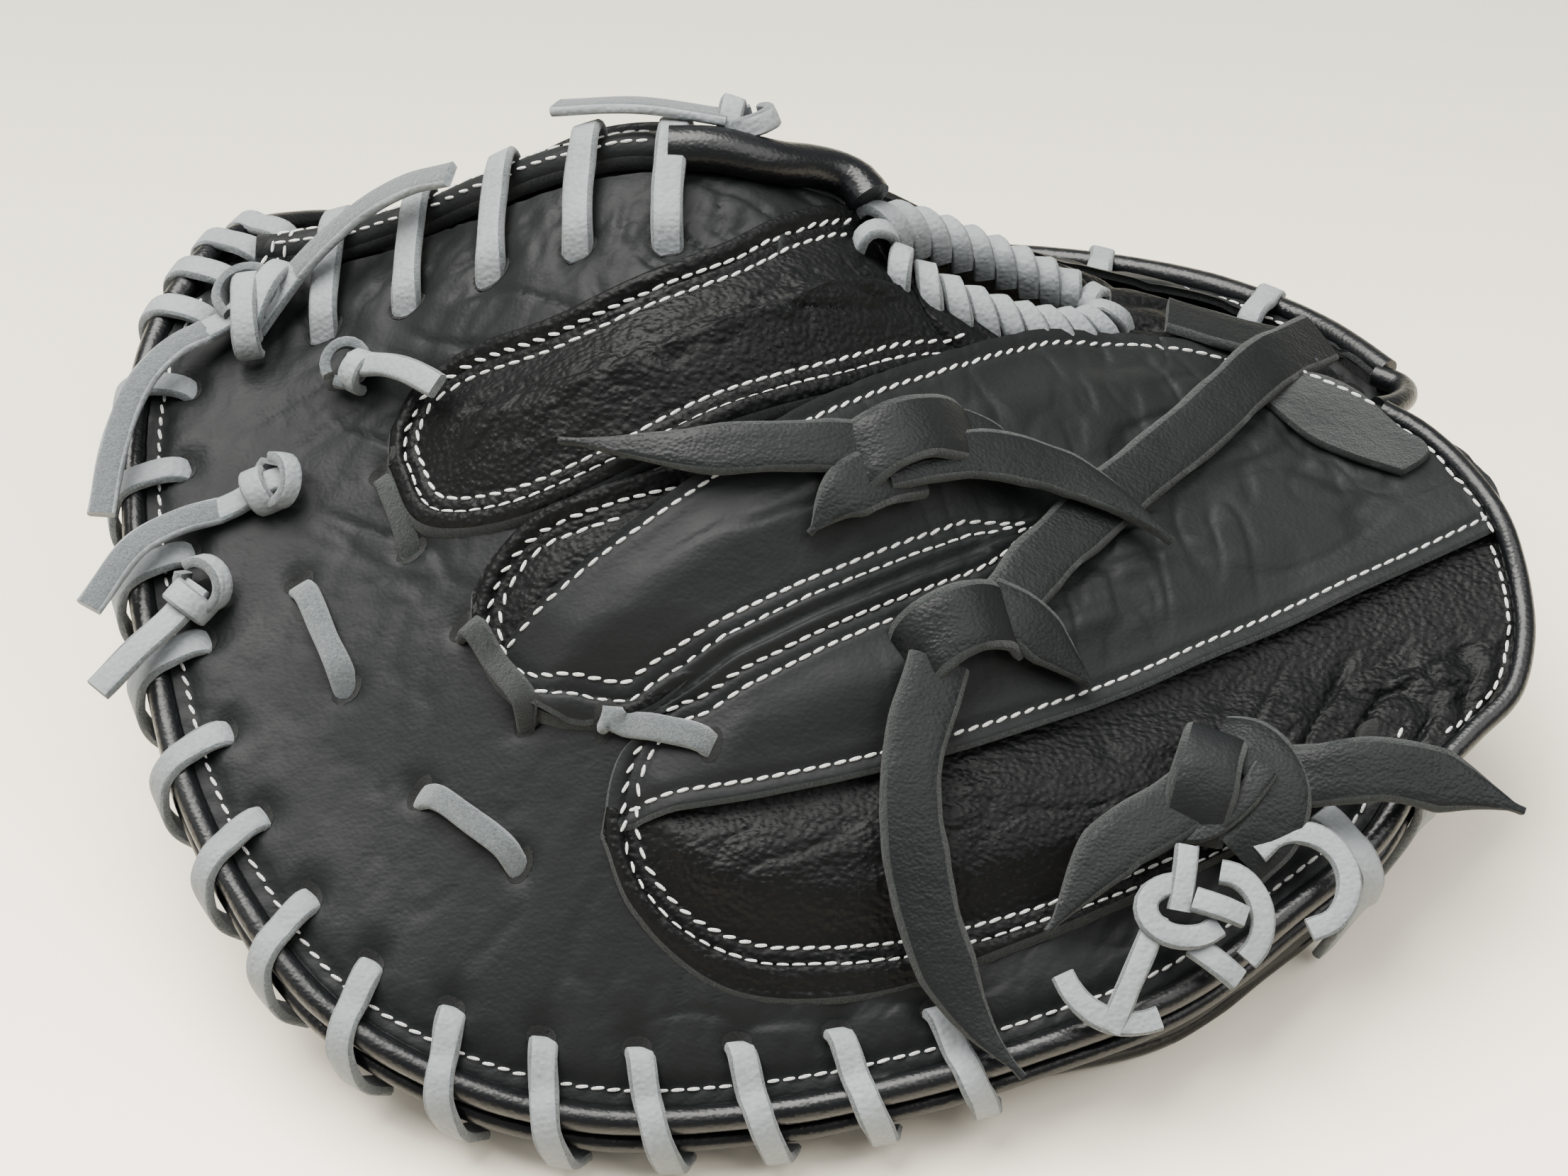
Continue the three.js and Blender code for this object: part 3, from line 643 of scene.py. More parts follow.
def near_place(u, v):
    p, _, out = rim_frame(NEAR_RIM, lerp(0.004, 0.94, u))
    rim = p - PALM_INSET * out
    bulge = 14 * np.sin(np.pi * np.minimum(1, v / 0.8)) * (1 - u) ** 8
    spot = lerp(fold_near(u), rim, v[..., None])
    return spot[..., 0] + bulge, spot[..., 1]


def far_place(u, v):
    p, _, out = rim_frame(FAR_RIM, lerp(0.004, 0.95, u))
    rim = p - PALM_INSET * out
    spot = lerp(THUMB_FOLD.at(u), rim, v[..., None])
    return spot[..., 0], spot[..., 1]


def grid(nu, nv, u_end=1.0, v_end=1.0):
    u = np.linspace(0, u_end, nu)[:, None] + np.zeros(nv)
    v = np.linspace(0, v_end, nv)[None] + np.zeros((nu, 1))
    return u, v


def palm_detail(x, y):
    wear = 1 - smooth(np.hypot(x + 30, y - 45) / 90)
    return (0.5 * noise(x, y, 14, 5) * wear + 0.5 * creases(x, y, 8, 7, 5, 6) * wear
            - 1.2 * np.exp(-(rim_distance(x, y) / 9 - 1) ** 2 * 3))


def palm_leather():
    """One skin from rim to rim, bent across the fold."""
    u, v = grid(150, 60)
    x1, y1 = near_place(u, 1 - v)
    x2, y2 = far_place(u, v)
    share = np.linspace(0, 1, 12)[1:-1]
    xm = lerp(x1[:, -1:], x2[:, :1], share)
    ym = lerp(y1[:, -1:], y2[:, :1], share)
    x, y = np.hstack([x1, xm, x2]), np.hstack([y1, ym, y2])
    z = palm(x, y)
    leather_sheet = panel("palm_leather", x, y, z + PALM_LEATHER - 0.3,
                          z - palm_detail(x, y) * 0.6 + 0.3, [LINING, PALM_SKIN], body=None,
                          slot="palm_leather")
    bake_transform(leather_sheet)
    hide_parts("palm_leather_fingers", "palm_leather_thumb")


def pad_top(x, y):
    return np.maximum(back(x, y) - 7 - CAVITY_DEPTH * cavity(x, y),
                      palm(x, y) + PALM_LEATHER + MIN_PAD)


HEEL_PAD_END = 0.499


def padding():
    """Felt pads inside the rim, a little crowned, and the suede lining of the hand room."""
    for node, start, end in (("palm_pad_heel", 0, HEEL_PAD_END), ("palm_pad_fingers", 0.501, 1)):
        u, v = grid(60, 50, 1)
        x, y = near_place(lerp(start, end, u), v)
        pad = panel(node + "_felt", x, y, pad_top(x, y) - 0.7 + 0.3 * noise(x, y, 18, 2),
                    palm(x, y) + PALM_LEATHER + 0.3, [FELT, FELT], edge_round=0.1, slot="padding")
        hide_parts(node)
    u, v = grid(110, 50)
    x, y = far_place(u, v)
    top = np.maximum(palm(x, y) + PALM_LEATHER + MIN_PAD,
                     back(x, y) - 10 - 20 * smooth((x - 10) / 30) * (1 - smooth((y - 78) / 12)))
    pad = panel("palm_pad_thumb_felt", x, y, top - 0.7 + 0.3 * noise(x, y, 18, 3),
                palm(x, y) + PALM_LEATHER + 0.3, [FELT, FELT], edge_round=1.5, body=THUMB,
                slot="padding")
    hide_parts("palm_pad_thumb")
    u, v = grid(90, 60, HEEL_PAD_END, 4 / 6)
    x, y = near_place(u, v)
    low = pad_top(x, y) + 0.3
    lining = panel("hand_lining_suede", x, y, low + 1.7 + 0.5 * noise(x, y, 12, 7), low,
                   [LINING, LINING], slot="lining")
    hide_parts("hand_lining")


palm_leather()
padding()

# ---------- Back panels of the finger side ----------
CRESCENT_OUTER = Path([[130, -36], [118, -55], [101, -69], [79, -85], [54, -95], [26, -103],
                       [-5, -108], [-40, -108.5], [-67, -102], [-91, -88.5], [-108, -68],
                       [-120, -46], [-127, -24], [-132, -4], [-135, 16], [-136, 38], [-132, 60],
                       [-122, 70], [-105, 68], [-80, 64], [-40, 58], [-12, 58], [16, 62]])
CRESCENT_INNER = Path([[118, -30], [90, -48], [48, -68], [14, -78], [-8, -76], [-22, -64],
                       [-36, -40], [-50, -22], [-62, -4], [-68, 8], [-66, 18], [-48, 22],
                       [-26, 26], [-8, 38], [10, 46]])
CRESCENT_TUCK = Path([[118, -20], [90, -36], [50, -54], [18, -64], [0, -62], [-10, -52],
                      [-22, -32], [-38, -14], [-46, 0], [-52, 8], [-48, 13], [-36, 15],
                      [-14, 20], [0, 30], [14, 38]])
INDEX_LOWER = Path([[-82, 9], [-75, -5], [-58, -11], [-36, -9], [-10, 2], [12, 13], [32, 26],
                    [48, 33]])
INDEX_UPPER = Path([[-82, 17], [-77, 25], [-66, 28], [-45, 27], [-15, 37], [0, 49], [13, 59],
                    [24, 66]])
MIDDLE_LOWER = Path([[-63, -30], [-57, -41], [-45, -49], [-30, -50], [-15, -42.5], [13, -27.5],
                     [43, -9], [56, -3]])
MIDDLE_UPPER = Path([[-63, -22], [-58, -16], [-46, -11], [-30, -8.5], [-15, -4], [10, 8],
                     [30, 22]])
LITTLE_LOWER = Path([[-36, -68], [-30, -80], [-12, -92], [15, -92.5], [48, -82], [86, -64],
                     [112, -49], [135, -38]])
LITTLE_UPPER = Path([[-34, -60], [-28, -52.5], [-15, -45.5], [13, -30.5], [43, -12], [60, -6],
                     [100, 4], [151, 13]])
# The seam between the middle and little stalls. Their outer rows of stitches run beside it and
# round each stall's tip, with the stall on the left.
DART = Path([[-29, -50], [0, -36], [28, -20], [53, -4]])
SEAM_GAP, SEAM_CLOSE = 3.0, 16.0       # row to seam, and the length over which they close up
MIDDLE_TIP, MIDDLE_TIP_R = (-43, -30), (17, 16)
LITTLE_TIP_X, LITTLE_TIP_Y = -32, -66
ABOVE_DART = offset(DART, SEAM_GAP, taper_end=SEAM_CLOSE).at(np.linspace(0, 1, 40))
BELOW_DART = offset(DART, -SEAM_GAP, taper_end=SEAM_CLOSE).at(np.linspace(1, 0.19, 40))
MIDDLE_TOP_ROW = Path(np.vstack([[[-21, -11]], arc(MIDDLE_TIP, MIDDLE_TIP_R, 90, 180)]))
MIDDLE_LOW_ROW = Path(np.vstack([arc(MIDDLE_TIP, MIDDLE_TIP_R, 180, 270), ABOVE_DART]))
LITTLE_TOP_ROW = Path(np.vstack([BELOW_DART,
                                 arc((LITTLE_TIP_X + 17, LITTLE_TIP_Y), (17, 19), 95, 180)]))
LITTLE_LOW_ROW = Path(np.vstack([arc((LITTLE_TIP_X + 32, LITTLE_TIP_Y), (32, 22.5), 180, 270),
                                 [[27, -85.5], [64, -73], [100, -56]]]))
ROW_1, ROW_2 = 3.5, 6.3        # the two rows of stitches, inside a stall's edge


def joined(*paths):
    """One path through several that meet end to end."""
    return Path(np.vstack([path.at(np.linspace(0, 1, 90)) for path in paths]), steps=2)


MIDDLE_ROW = joined(MIDDLE_TOP_ROW, MIDDLE_LOW_ROW)
LITTLE_ROW = joined(LITTLE_TOP_ROW, LITTLE_LOW_ROW)


def around(lower, upper):
    """The U-shaped edge of a stall: back along the lower side, round the tip, and up."""
    t = np.linspace(0, 1, 60)
    return Path(np.vstack([lower.at(t[::-1]), upper.at(t)]), steps=2)


INDEX_EDGE = around(INDEX_LOWER, INDEX_UPPER)
NEAR_LOOPS = [0.012, 0.06] + [0.286 + i * 20.6 / 424 for i in range(15)]
FAR_LOOPS = [0.12 + i * 0.145 for i in range(6)]


def tie_ends(x, y, length, direction):
    """The two holes of a short lace, from its middle, its length and its direction in degrees."""
    half = length / 2 * np.array([math.cos(math.radians(direction)),
                                  math.sin(math.radians(direction))])
    return tuple(np.array([x, y]) - half), tuple(np.array([x, y]) + half)


TIES = [tie_ends(-95, -21, 27, -65), tie_ends(-63, -63, 26, -37), tie_ends(-25, -53, 22, -16)]
DARK_TIES = [tie_ends(-80, 1, 20, -70), tie_ends(-58, -37, 24, -55)]
RIDGE_X = [lerp(-99, -24, i / 4) for i in range(5)]


def loop_holes(path, loops, inset=8.5):
    p, _, out = rim_frame(path, np.array(loops))
    return [tuple(q) for q in p - inset * out]


def crescent():
    u, v = grid(420, 76)
    tuck, inner, outer = (q.at(u[:, 0])[:, None] for q in (CRESCENT_TUCK, CRESCENT_INNER,
                                                           CRESCENT_OUTER))
    share = 0.16
    hidden = np.clip(v / share, 0, 1)[..., None]
    shown = np.clip((v - share) / (1 - share), 0, 1)[..., None]
    spot = tuck + (inner - tuck) * hidden + (outer - inner) * shown
    x, y = spot[..., 0], spot[..., 1]
    rim = rim_distance(x, y)
    holes = loop_holes(NEAR_RIM, NEAR_LOOPS)
    ends = [p for tie in TIES[:2] + DARK_TIES for p in tie]
    ridge_holes = [(a, ridge_y(a) - 18.5) for a in RIDGE_X]
    tip = np.exp(-((x + 88) ** 2 + (y - 34) ** 2) / 30 ** 2)
    stall_gap = polyline_distance(x, y, INDEX_EDGE, 80)[0]
    between_stalls = np.exp(-(stall_gap / 16) ** 2)
    low_side = np.exp(-((y + 95) / 30) ** 2) * smooth((x + 60) / 60)
    ridge_gap = ridge_y(x) - y
    pleats = np.exp(-((ridge_gap - 14) / 11) ** 2) * smooth((x + 118) / 12)
    puff = sum(np.exp(-((x - a - 9) / 7) ** 2) for a in RIDGE_X[:-1] + [-14])
    z = (surface(x, y, CRESCENT_TOP) + 1.6 * smooth(rim / 9) - 0.8 * smooth((rim - 12) / 20)
         - 1.0 * np.exp(-((rim - 3.2) / 1.3) ** 2) - 2.4 * (1 - hidden[..., 0])
         + dent(x, y, holes, 3.4, 2.6) + dent(x, y, ends, 2.8, 2.2)
         + dent(x, y, ridge_holes, 4, 2.4) + pleats * (1.8 * puff - 0.5)
         + 0.9 * noise(x, y, 26, 1) * smooth(rim / 25)
         + 1.3 * creases(x, y, 25, 9, 3.5, 2) * tip
         + 1.0 * creases(x, y, -35, 8, 3, 8) * between_stalls
         + 0.6 * creases(x, y, 5, 9, 4, 11) * low_side
         + 0.9 * creases(x, y, 84, 6, 2.5, 15) * pleats
         + 0.4 * creases(x, y, 60, 5, 3, 14) * smooth(rim / 10))
    skin("back_crescent_leather", "back_crescent", x, y, z, z - LEATHER, [SMOOTH_LEATHER,
         DARK_SUEDE], slot="smooth_leather")


def rolled_edge(d, roll=1.7):
    """Height over a sewn edge: the rolled edge, then a groove under each row of stitches."""
    rolled = roll * np.sqrt(np.clip(1 - ((d - 1.7) / 1.8) ** 2, 0, 1))
    return (rolled - 0.6 * np.exp(-((d - ROW_1) / 0.8) ** 2)
            - 0.6 * np.exp(-((d - ROW_2) / 0.8) ** 2))


def inside_of(x, y, row):
    """Distance from the edge of a stall whose outer row is given, positive inside."""
    gap, sign, _ = polyline_distance(x, y, row, 200)
    return gap * sign + ROW_1


def seam_profile(d, puff):
    return rolled_edge(d) + puff * smooth((d - 7) / 20) + 0.8 * smooth((d - 7) / 5)


def hole_gap(x, y):
    """Distance in plan from the rim of the finger hole, roughly."""
    dx, dy = x - HOLE_X, y - HOLE_Y
    a = (dx * math.cos(HOLE_TILT) + dy * math.sin(HOLE_TILT)) / HOLE_A
    b = (-dx * math.sin(HOLE_TILT) + dy * math.cos(HOLE_TILT)) / HOLE_B
    return (np.hypot(a, b) - 1) * 15


def stall(name, node, lower, upper, inside, puff, fade, direction, seed, nu=230, nv=70,
          body=FINGERS, end_bulge=0.0):
    x, y, u, v = between(lower, upper, nu, nv, 1.25)
    x = x + end_bulge * np.sin(np.pi * v) * u ** 6
    d = inside(x, y)
    open_end = 1 - smooth((u - fade) / max(1 - fade, 0.1))
    folds = smooth((d - 8) / 8)
    z = (surface(x, y, STALL_TOP - 1.3) + seam_profile(d, puff) * (0.35 + 0.65 * open_end)
         - 3 * (1 - smooth((hole_gap(x, y) - 1) / 7))
         + folds * (1.1 * creases(x, y, direction, 8, 4.5, seed)
                    + 0.6 * creases(x, y, direction + 14, 4.5, 4, seed + 3)
                    + 0.5 * creases(x, y, direction - 40, 5, 2.5, seed + 6) * open_end
                    + 0.6 * noise(x, y, 16, seed)))
    return skin(name, node, x, y, z, surface(x, y, STALL_BOTTOM - 3.2), [GRAIN_LEATHER,
                DARK_SUEDE], body=body, slot="grain_leather")


def little_stall():
    x, y, u, v = between(LITTLE_LOWER, LITTLE_UPPER, 280, 90)
    x = x + 11.5 * np.sin(np.pi * v) ** 0.8 * u ** 10
    d = inside_of(x, y, LITTLE_ROW)
    open_side = smooth((0.5 - v) / 0.1)
    bulge = 5 * smooth(u / 0.2) * (1 - smooth((u - 0.6) / 0.4)) * np.maximum(
        0, np.sin(np.pi * np.minimum(v, 0.52) * 1.9))
    heel = smooth((u - 0.66) / 0.2) * smooth((0.62 - v) / 0.2)
    z = (surface(x, y, STALL_TOP - 1.3) + seam_profile(d, 0) * lerp(0.35, 1, open_side)
         + bulge * smooth((d - 6) / 8)
         + heel * (1.5 * creases(x, y, 62, 9, 3, 21) + 0.8 * creases(x, y, 30, 6, 3, 25)
                   + 1.2 * noise(x, y, 12, 22))
         + 0.6 * creases(x, y, 20, 7, 4, 23) * smooth((d - 8) / 8) * open_side)
    skin("little_stall_leather", "little_stall", x, y, z, surface(x, y, STALL_BOTTOM - 2.2),
         [GRAIN_LEATHER, DARK_SUEDE], slot="grain_leather")


OVERLAY_TOP_ROW = Path([[-56, -35], [-16, -12], [28, 20], [62, 45], [95, 53], [131, 39]])
OVERLAY_LOW_ROW = Path([[-31, -65], [0, -60], [40, -46], [103, -12], [151, 15]])
OVERLAY_LEFT = Path([[-35, -68], [-34.5, -62], [-32, -56], [-26, -51.5], [-20, -48.3],
                     [-30, -49.8], [-44, -49.4], [-54, -43.5], [-60, -36.5]])


def overlay():
    low, high = offset(OVERLAY_LOW_ROW, -3), offset(OVERLAY_TOP_ROW, 3)
    x, y, u, v = between(low, high, 320, 130)
    left = OVERLAY_LEFT.at(v[0])
    straight = np.stack([x[0], y[0]], -1)
    x = x + (1 - u) ** 3 * (left[:, 0] - straight[:, 0])[None]
    y = y + (1 - u) ** 3 * (left[:, 1] - straight[:, 1])[None]
    x = x + 7.5 * np.sin(np.pi * v) * u ** 8
    dart, _, along = polyline_distance(x, y, DART, 160)
    top_row = polyline_distance(x, y, OVERLAY_TOP_ROW, 200)[0]
    low_row = polyline_distance(x, y, OVERLAY_LOW_ROW, 200)[0]
    left_gap = polyline_distance(x, y, OVERLAY_LEFT, 160)[0]
    level = lerp(-0.7, OVERLAY_TOP - 1.2, smooth(left_gap / 15))
    seam = 1 - smooth((along - 0.95) / 0.05)
    lobes = smooth((dart - 6) / 14) * smooth((top_row - 2) / 12) * smooth((low_row - 2) / 12)
    radial = np.exp(-((top_row - 12) / 12) ** 2) * smooth((x + 10) / 20)
    z = (surface(x, y, 0) + level
         - seam * 2.0 * np.exp(-(dart / 0.9) ** 2)
         + 0.8 * rolled_edge(inside_of(x, y, MIDDLE_LOW_ROW), 1.5)
         + 0.8 * rolled_edge(inside_of(x, y, LITTLE_TOP_ROW), 1.5)
         - 0.8 * np.exp(-(top_row / 1.2) ** 2) - 0.8 * np.exp(-(low_row / 1.2) ** 2)
         + 3.2 * lobes * (1 - smooth((u - 0.6) / 0.4))
         + 0.9 * creases(x, y, 28, 9, 4, 31) * smooth(u / 0.3) * lobes
         + 0.5 * creases(x, y, 100, 7, 2.5, 33) * np.exp(-((x - 70) / 40) ** 2)
         * smooth(low_row / 10)
         + 0.5 * creases(x, y, 125, 8, 3, 36) * radial
         + 0.6 * noise(x, y, 18, 34))
    thick = LEATHER - 0.3
    skin("back_overlay_leather", "back_overlay", x, y, z, z - thick, [SMOOTH_LEATHER, DARK_SUEDE],
         slot="smooth_leather", edge_round=0.6)


HOLE_X, HOLE_Y, HOLE_A, HOLE_B, HOLE_TILT = 45, 58, 24, 10, 0.2
HAND_BACK_EDGE = Path([[129, 50], [110, 73], [80, 85], [50, 86], [30, 79], [18, 64], [24, 47],
                       [36, 31], [58, 36], [82, 47], [105, 48], [124, 40]], closed=True)


def hole_rim(t, grow=0.0):
    a = (HOLE_A + grow) * np.cos(2 * np.pi * t)
    b = (HOLE_B + grow) * np.sin(2 * np.pi * t)
    return (HOLE_X + a * math.cos(HOLE_TILT) - b * math.sin(HOLE_TILT),
            HOLE_Y + a * math.sin(HOLE_TILT) + b * math.cos(HOLE_TILT))


def knuckle_panel():
    nu, nv = 200, 40
    u = np.linspace(0, 1, nu, endpoint=False)
    v = np.linspace(0, 1, nv)
    hx, hy = hole_rim(u)
    edge = HAND_BACK_EDGE.at(u)
    x = lerp(hx[:, None], edge[:, :1], v[None])
    y = lerp(hy[:, None], edge[:, 1:], v[None])
    rim = np.exp(-(v[None] * 30 / 5) ** 2) + 0 * x
    folds = smooth(v[None] / 0.2) + 0 * x
    z = (surface(x, y, STALL_TOP) - 1.5 * rim - 3.4 * smooth((v[None] - 0.7) / 0.3) + folds * (
        1.6 * creases(x, y, 12, 10, 4, 41) + 1.0 * creases(x, y, -20, 6, 4, 43)
        + 0.8 * noise(x, y, 15, 44)))
    skin("index_knuckle_leather", "index_knuckle_panel", x, y, z, surface(x, y,
         STALL_BOTTOM - 3.2), [GRAIN_LEATHER, DARK_SUEDE], ring=True, slot="grain_leather")


crescent()
stall("middle_stall_leather", "middle_stall", MIDDLE_LOWER, MIDDLE_UPPER,
      lambda x, y: inside_of(x, y, MIDDLE_ROW), 0.6, 0.3, 25, 51)
little_stall()
stall("index_stall_leather", "index_stall", INDEX_LOWER, INDEX_UPPER,
      lambda x, y: polyline_distance(x, y, INDEX_EDGE, 200)[0], 6.5, 0.8, 20, 55, end_bulge=-14)
knuckle_panel()
overlay()


# ---------- Ridge, fold and web ----------
def ridge_band():
    n, m = 140, 22
    u = np.linspace(0, 1, n)[:, None] + np.zeros(m)
    v = np.linspace(0, 1, m)[None] + np.zeros((n, 1))
    x = lerp(-116, -8, u)
    y = ridge_y(x) + lerp(2.5, 11, v)
    tuck = sum(np.exp(-((x - a - 1) / 4) ** 2) for a in RIDGE_X)
    z = surface(x, y, -1.2) + 3.4 * np.sin(np.pi * v) ** 0.7 - 0.8 * tuck + 0.4 * noise(x, y, 9, 61)
    skin("ridge_band_leather", "ridge_band", x, y, z, surface(x, y, -5), [SMOOTH_LEATHER,
         DARK_SUEDE], slot="smooth_leather")


THUMB_BACK_INNER = Path([[136, 60], [114, 79], [82, 92], [48, 93], [24, 84], [4, 76], [-20, 74],
                         [-42, 76], [-60, 97], [-90, 104], [-106, 97]])


def fold_leather():
    """Leather of the fold, where the mitt bends as it closes."""
    near = Path([[131, 44], [112, 67], [80, 80], [50, 82], [30, 76], [14, 62], [-10, 60],
                 [-34, 66], [-52, 70], [-64, 74]])
    far = Path([[137, 64], [116, 83], [82, 97], [48, 98], [24, 90], [4, 81], [-20, 79],
                [-42, 81], [-58, 96], [-66, 103]])
    x, y, _, v = between(near, far, 200, 26)
    dip = 5 * np.sin(np.pi * v)
    z = surface(x, y, -4.4) - dip + 0.8 * creases(x, y, 85, 8, 3, 71) + 0.5 * noise(x, y, 10, 72)
    leather_sheet = panel("fold_leather", x, y, z, z - 2, [SMOOTH_LEATHER, DARK_SUEDE], body=None,
                 slot="smooth_leather")
    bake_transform(leather_sheet)
    lay_on(leather_sheet)


def across_fold(obj):
    """Bakes the placement of a piece near the web into its mesh."""
    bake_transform(obj)


def web():
    """Leather of the web between the fingertips and the thumb; on the mitt it is sewn and laced along
    both sides.
    """
    near = Path([[-125, 70], [-110, 76], [-88, 76], [-62, 73]])
    far = Path([[-117, 92], [-100, 98], [-80, 101], [-61, 98]])
    x, y, _, v = between(near, far, 90, 40)
    z = (surface(x, y, -3.2) - 1.5 * np.sin(np.pi * v)
         - 0.9 * np.exp(-((v - 0.5) / 0.03) ** 2) + 0.6 * creases(x, y, 75, 7, 3, 75))
    leather_sheet = panel("web_leather", x, y, z, z - 3, [GRAIN_LEATHER, DARK_SUEDE], body=None,
                 slot="grain_leather")
    across_fold(leather_sheet)
    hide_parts("web_panel")
    lay_on(leather_sheet)


ridge_band()
fold_leather()
web()


# ---------- Thumb side ----------
THUMB_LOWER = Path([[-76, 106], [-66, 102], [-40, 84], [-10, 80], [10, 84], [40, 96]])
THUMB_UPPER = Path([[-72, 108], [-62, 110], [-40, 112], [-10, 113], [20, 110], [50, 103]])
THUMB_EDGE = around(THUMB_LOWER, THUMB_UPPER)


def thumb_back():
    u, v = grid(260, 40)
    rim, inner = FAR_RIM.at(u[:, 0] * 0.95), THUMB_BACK_INNER.at(u[:, 0])
    x = lerp(inner[:, :1], rim[:, :1], v)
    y = lerp(inner[:, 1:], rim[:, 1:], v)
    d = rim_distance(x, y)
    holes = loop_holes(FAR_RIM, FAR_LOOPS)
    z = (surface(x, y, CRESCENT_TOP) + 1.6 * smooth(d / 9) - np.exp(-((d - 3.2) / 1.3) ** 2)
         + dent(x, y, holes, 3.4, 2.4) + 0.7 * noise(x, y, 20, 81)
         + 0.7 * creases(x, y, 5, 9, 4, 82))
    skin("thumb_back_leather", "thumb_back", x, y, z, z - LEATHER, [SMOOTH_LEATHER, DARK_SUEDE],
         body=THUMB, slot="smooth_leather")


thumb_back()
stall("thumb_stall_leather", "thumb_stall", THUMB_LOWER, THUMB_UPPER,
      lambda x, y: polyline_distance(x, y, THUMB_EDGE, 200)[0], 4.5, 0.85, 3, 85, nu=160, nv=46,
      body=THUMB)


# ---------- Rim: side leather and welts ----------
def rim_side(name, path, end, body, seed):
    """Side leather between the two welts."""
    u, v = grid(int(path.length / 1.8), 22)
    t = lerp(0.004, end, u)
    p, _, out = rim_frame(path, t)
    depth = rim_depth(p[..., 0], p[..., 1])
    level = back(p[..., 0], p[..., 1])
    bulge = lerp(1.8, -3.2, v) + 3.2 * np.sin(np.pi * v)
    x, y = p[..., 0] + out[..., 0] * bulge, p[..., 1] + out[..., 1] * bulge
    z = np.maximum(level - 4.5 - (depth - 6) * v, REST_Z + 0.6)
    folds = 0.7 * noise(u * path.length, v * 30, 7, seed) * np.sin(np.pi * v)
    verts = np.stack([x + out[..., 0] * folds, y + out[..., 1] * folds, z], -1)
    inside = np.stack([x - 2 * out[..., 0], y - 2 * out[..., 1], z], -1)
    nu, nv = u.shape
    faces, index = [], []
    size = nu * nv
    for i in range(nu - 1):
        for j in range(nv - 1):
            a, b, c, d = i * nv + j, (i + 1) * nv + j, (i + 1) * nv + j + 1, i * nv + j + 1
            faces += [(a, b, c, d), (size + a, size + d, size + c, size + b)]
            index += [0, 1]
    return make(name, np.vstack([verts.reshape(-1, 3), inside.reshape(-1, 3)]), faces,
                [SMOOTH_LEATHER, DARK_SUEDE], index, body=body, slot="smooth_leather")


REST_Z = CENTRE[2]


def welt_points(path, out_by, drop_by, end, count=70, start=0.004):
    t = np.linspace(start, end, count)
    p, _, out = rim_frame(path, t)
    drops = drop_by(p[:, 0], p[:, 1]) if callable(drop_by) else drop_by
    return np.column_stack([p + out * out_by, back(p[:, 0], p[:, 1]) - drops])


CORNER_RIM = Path([[-131, 64], [-126.5, 74], [-120, 86], [-110, 99]])


for side, path, end, body in (("fingers", NEAR_RIM, 0.99, FINGERS),
                              ("thumb", FAR_RIM, 0.97, THUMB), ("corner", CORNER_RIM, 1.0, None)):
    pieces = [rim_side(f"rim_side_{side}", path, end, body, 90),
              tube(f"back_welt_{side}_piping", welt_points(path, WELT_R + 0.1, 3.6, end), WELT_R,
                   PIPING, 14, wobble=0.05, body=body, slot="piping"),
              tube(f"palm_welt_{side}_piping",
                   welt_points(path, -4, lambda a, b: rim_depth(a, b) - 2, end), PALM_WELT_R,
                   PIPING, 14, wobble=0.05, floor=REST_Z, body=body, slot="piping"),
              tube(f"rim_seam_{side}_piping", welt_points(path, 3.6, 10.5, end), 2.1, PIPING, 12,
                   wobble=0.08, body=body, slot="piping")]
    if side == "corner":
        for piece in pieces:
            across_fold(piece)
    else:
        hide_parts(f"back_welt_{side}")
        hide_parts(f"palm_welt_{side}")


# ---------- Lacing ----------
def hole_shade_patch(x, y, along, size=(3.1, 2.1)):
    """A matte dark patch draped on the leather over a punched hole, as painted shade for the hole's
    inside.
    """
    along = np.array(along, float)
    along /= np.linalg.norm(along)
    verts, faces = [], []
    rings, sides = 4, 16
    for i in range(rings + 1):
        for j in range(sides):
            a = 2 * math.pi * j / sides
            d = i / rings * np.array([math.cos(a) * size[0], math.sin(a) * size[1]])
            px, py = x + d[0] * along[0] - d[1] * along[1], y + d[0] * along[1] + d[1] * along[0]
            verts.append((px, py, drop(px, py)[0] + 0.22 - 0.12 * i / rings))
            if i < rings:
                k = (j + 1) % sides
                faces.append((i * sides + j, (i + 1) * sides + j, (i + 1) * sides + k,
                              i * sides + k))
    return np.array(verts), faces, [0] * len(faces)


def arched_normals(points):
    """Normals of a band that humps along its length."""
    p = np.array(points, float)
    mid = p[len(p) // 2]
    across = np.cross(p[-1] - p[0], back_normal(mid[0], mid[1]))
    n = np.cross(across, np.gradient(p, axis=0))
    return n / np.maximum(np.linalg.norm(n, axis=1, keepdims=True), 1e-9)


LOOP = [(-10, -4.5, 0), (-8.8, -1.6, 0.03), (-7, 0.8, 0.08), (-4, 2.1, 0.15), (0, 2.5, 0.25),
        (3.8, 1.8, 0.36), (7.3, -1.6, 0.5), (8.0, -7, 0.68), (6.4, -13, 0.82)]


